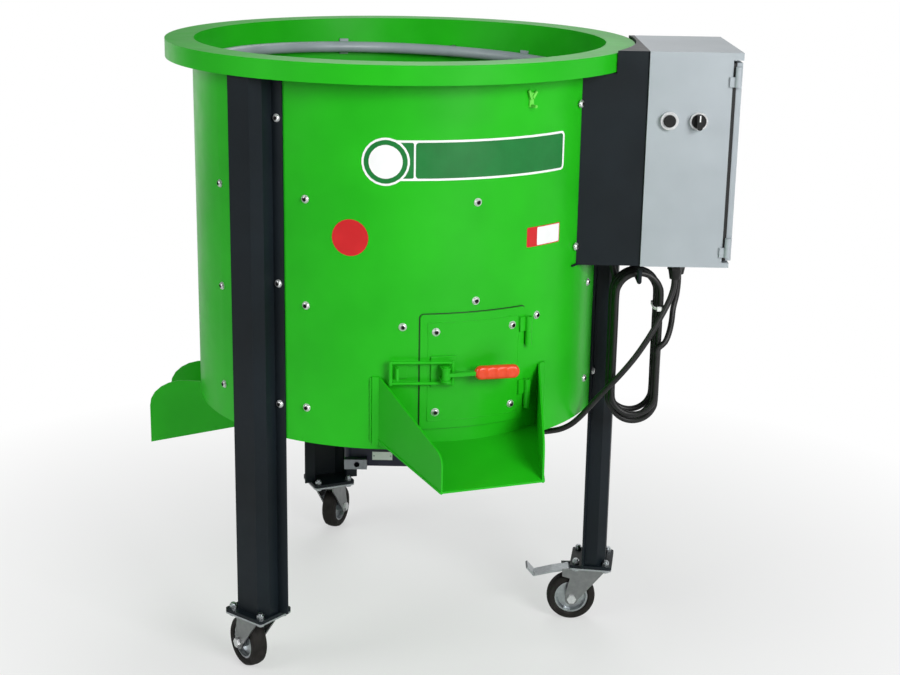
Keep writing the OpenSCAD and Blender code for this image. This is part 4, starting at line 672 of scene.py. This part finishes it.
CHUTE_ANGLE, CHUTE_FLANGE, FLANGE_EDGE = 19.8, 147, 0.2
WELD_ENDS, WELD_OUT, WELD_R = (442, 548), 0.8, 1.8
flange_turn = math.degrees(math.asin(CHUTE_FLANGE / drum_r)) + FLANGE_EDGE
welds = []
for side in (-1, 1):
    corner_a = CHUTE_ANGLE + side * flange_turn
    welds.append(bead([on_drum(corner_a, drum_r + WELD_OUT, z) for z in WELD_ENDS], WELD_R))
make_piece("chute_welds", welds, green_coat, smooth=True)


# %% [markdown]
# ## Painted shadow line and weld marks of the gate
# The gate overlaps its opening, and a dark shadow line shows all round it. It is painted as a thin strip
# of the cords' black rubber behind the gate's edge. On its outside, the plug that fills the opening shows
# as a faint rectangle with stronger welds at the corners. The shadow strip is a closed loft along the
# gate's outline, and the marks are low beads on the gate's face.

# %% Painted shadow line of the gate
GATE_ANGLE, GATE_HALF, GATE_UP, GATE_CORNER = 22, 89, 94, 6
CORNER_STEPS, EDGE_STEPS = 6, 10
gate_low, gate_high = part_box("gate_door")
gate_mid = (gate_low.z + gate_high.z) / 2 / MM


def on_gate(across, rise, radius):
    """A point across and above the gate's middle, at that radius."""
    return on_drum(GATE_ANGLE + math.degrees(math.asin(across / radius)), radius, gate_mid + rise)


def gate_outline(grow):
    """The gate's outline, grown on all sides, as pairs of across and rise."""
    corner = GATE_CORNER + grow
    across, rise = GATE_HALF - GATE_CORNER, GATE_UP - GATE_CORNER
    turns = [math.radians(90 / CORNER_STEPS * k) for k in range(CORNER_STEPS + 1)]
    quarter = [(across + corner * math.cos(t), rise + corner * math.sin(t)) for t in turns]
    top = [(across * (1 - i / EDGE_STEPS), rise + corner) for i in range(1, 2 * EDGE_STEPS)]
    half = quarter + top + [(-s, h) for s, h in reversed(quarter)]
    return half + [(-s, -h) for s, h in half]


# This black strip round the gate's edge is a painted shadow line.
SHADOW_OUT, SHADOW_IN, SHADOW_LOW, SHADOW_HIGH = 1.4, -1, drum_r + 0.1, drum_r + 0.38
shadow_strip = []
for (s0, h0), (s1, h1) in zip(gate_outline(SHADOW_IN), gate_outline(SHADOW_OUT)):
    shadow_strip.append([on_gate(s0, h0, SHADOW_LOW), on_gate(s1, h1, SHADOW_LOW),
                 on_gate(s1, h1, SHADOW_HIGH), on_gate(s0, h0, SHADOW_HIGH)])
make_piece("gate_shadow_strip", [loft(shadow_strip, closed=True)], sheath_rubber, "gate")

# %% Weld marks of the gate
GATE_FACE = drum_r + 3.4
PLUG_HALF, PLUG_UP, STITCH, LINE_R, STITCH_R = 77.5, 80.5, 22, 0.4, 0.9
marks = []
for side in (-1, 1):
    places = [PLUG_HALF * i / EDGE_STEPS for i in range(-EDGE_STEPS, EDGE_STEPS + 1)]
    row = [on_gate(s, side * PLUG_UP, GATE_FACE) for s in places]
    post = [on_gate(side * PLUG_HALF, h, GATE_FACE) for h in (-PLUG_UP, PLUG_UP)]
    marks += [bead(row, LINE_R), bead(post, LINE_R)]
    for end in (-1, 1):
        corner = on_gate(end * PLUG_HALF, side * PLUG_UP, GATE_FACE)
        inward = on_gate(end * (PLUG_HALF - STITCH), side * PLUG_UP, GATE_FACE)
        upright = on_gate(end * PLUG_HALF, side * (PLUG_UP - STITCH), GATE_FACE)
        marks += [bead([corner, inward], STITCH_R), bead([corner, upright], STITCH_R)]
make_piece("gate_weld_marks", marks, green_coat, "gate", smooth=True)

# %% [markdown]
# ## Finger grip of the clamp
# The clamp's handle ends in a dipped PVC grip, an oval bar with round ends and four shallow dents for the
# fingers. Rings along the bar are the easiest way to shape it: each ring is a rounded oval, the end rings
# shrink along a quarter circle, and the outer side sinks in at each finger.

# %% Finger grip of the clamp
CLAMP_ANGLE, CLAMP_RISE, GRIP_R = 13.375, 2, drum_r + 24
GRIP_START, GRIP_LONG, GRIP_HALF, GRIP_DEEP = 46, 73, 11, 8.5
GRIP_END, DENT, DENT_HALF, FIRST_FINGER, FINGERS, RUN_STEPS = 10, 2, 7.5, 13, 4, 40
fingers = [FIRST_FINGER + i * (GRIP_LONG - 2 * FIRST_FINGER) / (FINGERS - 1) for i in range(FINGERS)]
ends = [GRIP_END * (1 - math.cos(math.radians(t))) for t in (6, 15, 25, 35, 45, 55, 65, 75, 83)]
run = [GRIP_END + i * (GRIP_LONG - 2 * GRIP_END) / RUN_STEPS for i in range(RUN_STEPS + 1)]
OVAL, OVAL_POINTS = 2.6, 32


def rounded(value):
    """A cosine or sine bent towards the corners of its box, which makes a rounded oval."""
    return math.copysign(abs(value) ** (2 / OVAL), value)


def grip_ring(along):
    """One ring of the grip, that far from its start."""
    turn = math.radians(CLAMP_ANGLE)
    short = max(0, GRIP_END - min(along, GRIP_LONG - along)) / GRIP_END
    scale = math.sqrt(1 - short ** 2)
    sink = DENT * sum(max(0, 1 - ((along - f) / DENT_HALF) ** 2) for f in fingers)
    ring = []
    for k in range(OVAL_POINTS):
        t = math.tau * k / OVAL_POINTS
        out, rise = scale * rounded(math.cos(t)), scale * rounded(math.sin(t))
        u = GRIP_R + GRIP_DEEP * out - sink * max(0, out) * (1 - rise ** 2)
        v = GRIP_START + along
        ring.append(place(v * math.cos(turn) + u * math.sin(turn), v * math.sin(turn) - u * math.cos(turn),
                          gate_mid + CLAMP_RISE + GRIP_HALF * rise))
    return ring


grip = [grip_ring(d) for d in ends + run + [GRIP_LONG - e for e in reversed(ends)]]
finger_grip = make_piece("finger_grip", [loft(grip)], grip_pvc, "handle", smooth=True)
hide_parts("clamp_grip")

# %% [markdown]
# ## Strap on the coil
# A white nylon cable tie holds the right-hand strands of the coil together. It is a closed band 4.6 mm
# wide with a small square head.

# %% Strap on the coil
nylon, tree, surface = blank_material("white_nylon", IOR=1.53)
tint(tree, surface, cloud(tree, 12), "#E6E8E6", "#F1F2F0")
roughen(tree, surface, cloud(tree, 6), 0.4, 0.5)
STRAP_X, STRAP_Z, STRAP_W, STRAP_R, STRAP_T = 439.1, 619, 4.6, 8.1, 1.2
STRAP_ENDS, HALF_TURN = [(-165.4, -1), (-132.4, 1)], 12
strap_outer = STRAP_R + STRAP_T
band = []
for end_y, sign in STRAP_ENDS:
    for k in range(HALF_TURN + 1):
        turn = math.pi * k / HALF_TURN
        x_way, y_way = -sign * math.cos(turn), sign * math.sin(turn)
        ring = []
        for r, z in ((STRAP_R, 0), (STRAP_R, STRAP_W), (strap_outer, STRAP_W), (strap_outer, 0)):
            ring.append(place(STRAP_X + r * x_way, end_y + r * y_way, STRAP_Z + z))
        band.append(ring)
HEAD_HALF, HEAD_LOW, HEAD_HIGH, HEAD_DEPTH = 3.5, -1, 6, (-178.6, -174.8)
head_corners = [(-HEAD_HALF, HEAD_LOW), (HEAD_HALF, HEAD_LOW), (HEAD_HALF, HEAD_HIGH),
                (-HEAD_HALF, HEAD_HIGH)]
head = [[place(STRAP_X + x, y, STRAP_Z + z) for x, z in head_corners] for y in HEAD_DEPTH]
make_piece("cord_strap", [loft(band, closed=True), loft(head)], nylon)

# %% [markdown]
# ## Marks on the switches and the gearbox
# The selector has a white pointer line let into its knob, which turns with it. The gearbox carries a bare
# plate of white-lacquered aluminium on two rivets.

# %% Pointer of the selector
def block(low, high):
    """A loft of a plain box between two corners."""
    return loft([[Vector((x, low.y, low.z)), Vector((x, high.y, low.z)), Vector((x, high.y, high.z)),
                  Vector((x, low.y, high.z))] for x in (low.x, high.x)])


knob_low, knob_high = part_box("selector_knob")
knob_mid = (knob_low + knob_high) / 2
LINE_HALF, LINE_PROUD, LINE_SUNK, LINE_START, LINE_SHORT = 1.1, 0.3, 0.2, 1, 1.5
pointer_low = Vector((knob_mid.x - LINE_HALF * MM, knob_low.y - LINE_PROUD * MM,
                      knob_mid.z + LINE_START * MM))
pointer_high = Vector((knob_mid.x + LINE_HALF * MM, knob_low.y + LINE_SUNK * MM,
                       knob_high.z - LINE_SHORT * MM))
pointer = block(pointer_low, pointer_high)
make_piece("selector_pointer", [pointer], nylon, "selector")

# %% Plate of the gearbox
GEAR_FACE, PLATE_T, RIVET_Z, RIVET_X = -75, 0.8, 316, (-39, -9.4)
RIVET_PROFILE = ((1.6, 0.6), (1.5, 1.3), (0.8, 1.7))
plate = block(place(-42, GEAR_FACE - PLATE_T, 308.5), place(-6.4, GEAR_FACE, 323.5))
circle = [math.tau * k / 10 for k in range(10)]
rivets = []
for x in RIVET_X:
    rings = []
    for r, y in RIVET_PROFILE:
        rings.append([place(x + r * math.cos(t), GEAR_FACE - y, RIVET_Z + r * math.sin(t)) for t in circle])
    rivets.append(loft(rings))
make_piece("gearbox_plate", [plate], white_vinyl)
make_piece("plate_rivets", rivets, zinc_plate)

# %% [markdown]
# ## Light, floor and background
# The photograph was lit from the right front: the drum is brightest a little right of its middle, and
# faces that look left are in half shade. A large key soft box stands there, a weaker one stands left of
# the camera, and one above the back lights the rim and the lids.

# %% Lamps
def soft_box(name, spot, target, size, power):
    """A square area lamp at spot that faces target."""
    data = bpy.data.lights.new(name, "AREA")
    data.size = size
    data.energy = power
    lamp = bpy.data.objects.new(name, data)
    lamp.location = spot
    lamp.rotation_euler = (target - spot).to_track_quat("-Z", "Y").to_euler()
    bpy.context.collection.objects.link(lamp)
    print(name, power, "W")


middle = place(0, 0, 600)
soft_box("key_light", place(2000, -2900, 2000), middle, 1.5, 97)
soft_box("fill_light", place(-2300, -1500, 1900), middle, 1.4, 28)
soft_box("back_light", place(300, 2400, 2900), middle, 1.8, 34)

# %% [markdown]
# The world adds a little light from all sides. The camera sees it as a plain white background. Reflections
# see a dimmed one, brightest behind the machine to the right and dimmest towards the camera, so that the
# paint stays deep and the metal gets a gradient. The Standard view transform keeps that white pure.

# %% World
AMBIENT, MIRRORED_LOW, MIRRORED_HIGH = 0.3, 0.12, 0.35
world = bpy.data.worlds.new("studio")
bpy.context.scene.world = world
bpy.context.scene.view_settings.view_transform = "Standard"
world.use_nodes = True
tree = world.node_tree
tree.nodes.clear()
rays = add(tree, "ShaderNodeLightPath").outputs
straight = add(tree, "ShaderNodeMath", {0: rays["Is Camera Ray"], 1: rays["Is Transmission Ray"]},
               operation="MAXIMUM")
seen = add(tree, "ShaderNodeMath", {0: straight.outputs[0], 1: rays["Is Glossy Ray"]}, operation="MAXIMUM")
BRIGHT_WAY = (0.5, 0.85, 0.17)
way = add(tree, "ShaderNodeVectorMath", {0: add(tree, "ShaderNodeTexCoord").outputs["Generated"],
                                         1: BRIGHT_WAY}, operation="DOT_PRODUCT")
depth = add(tree, "ShaderNodeMapRange", {"Value": way.outputs["Value"], "From Min": 0.4, "From Max": 0.95,
                                         "To Min": MIRRORED_LOW, "To Max": MIRRORED_HIGH})
level = add(tree, "ShaderNodeMath", {0: depth.outputs["Result"], 1: straight.outputs[0]}, operation="MAXIMUM")
ambient = add(tree, "ShaderNodeBackground", {"Color": linear("#F4F6F8"), "Strength": AMBIENT})
backdrop = add(tree, "ShaderNodeBackground", {"Color": linear("#FFFFFF"), "Strength": level.outputs[0]})
shown = add(tree, "ShaderNodeMixShader", {0: seen.outputs[0], 1: ambient.outputs[0], 2: backdrop.outputs[0]})
add(tree, "ShaderNodeOutputWorld", {"Surface": shown.outputs[0]})
print("world nodes:", len(tree.nodes))

# %% [markdown]
# The floor is a pale sheet that keeps the machine's soft shadow. With the distance from the machine it
# fades into plain white for the rays that see the background, so it meets that background without a line.
# Reflections see it fade only behind the machine.

# %% Floor sheet
REACH = 30
floor_mesh = bpy.data.meshes.new("studio_floor")
floor_corners = [(-REACH, -REACH, 0), (REACH, -REACH, 0), (REACH, REACH, 0), (-REACH, REACH, 0)]
floor_mesh.from_pydata(floor_corners, [], [(0, 1, 2, 3)])
floor = bpy.data.objects.new("studio_floor", floor_mesh)
bpy.context.collection.objects.link(floor)
print("floor:", 2 * REACH, "m wide")

# %% Floor paint
floor_paint, tree, surface = blank_material("studio_floor_paint", **{"IOR": 1.45})
tint(tree, surface, cloud(tree, 900), "#DCDCDC", "#E0E0E0")
roughen(tree, surface, cloud(tree, 300), 0.85, 0.95)
where = add(tree, "ShaderNodeTexCoord")
away = add(tree, "ShaderNodeVectorMath", {0: where.outputs["Object"]}, operation="LENGTH")
fade = add(tree, "ShaderNodeMapRange", {"Value": away.outputs["Value"], "From Min": 0.45, "From Max": 1.4,
                                        "To Min": 0.5, "To Max": 1.0})
rays = add(tree, "ShaderNodeLightPath").outputs
straight = add(tree, "ShaderNodeMath", {0: rays["Is Camera Ray"], 1: rays["Is Transmission Ray"]},
               operation="MAXIMUM")
way = add(tree, "ShaderNodeVectorMath", {0: where.outputs["Object"], 1: BRIGHT_WAY}, operation="DOT_PRODUCT")
behind = add(tree, "ShaderNodeMapRange", {"Value": way.outputs["Value"], "From Min": 0.3, "From Max": 2.0})
mirrored = add(tree, "ShaderNodeMath", {0: behind.outputs["Result"], 1: rays["Is Glossy Ray"]},
               operation="MULTIPLY")
seen = add(tree, "ShaderNodeMath", {0: straight.outputs[0], 1: mirrored.outputs[0]}, operation="MAXIMUM")
share = add(tree, "ShaderNodeMath", {0: fade.outputs["Result"], 1: seen.outputs[0]}, operation="MULTIPLY")
plain_white = add(tree, "ShaderNodeEmission", {"Color": linear("#FFFFFF"), "Strength": 1.0})
mixed = add(tree, "ShaderNodeMixShader",
            {0: share.outputs[0], 1: surface.outputs[0], 2: plain_white.outputs[0]})
tree.links.new(mixed.outputs[0], tree.nodes["Material Output"].inputs["Surface"])
floor.data.materials.append(floor_paint)
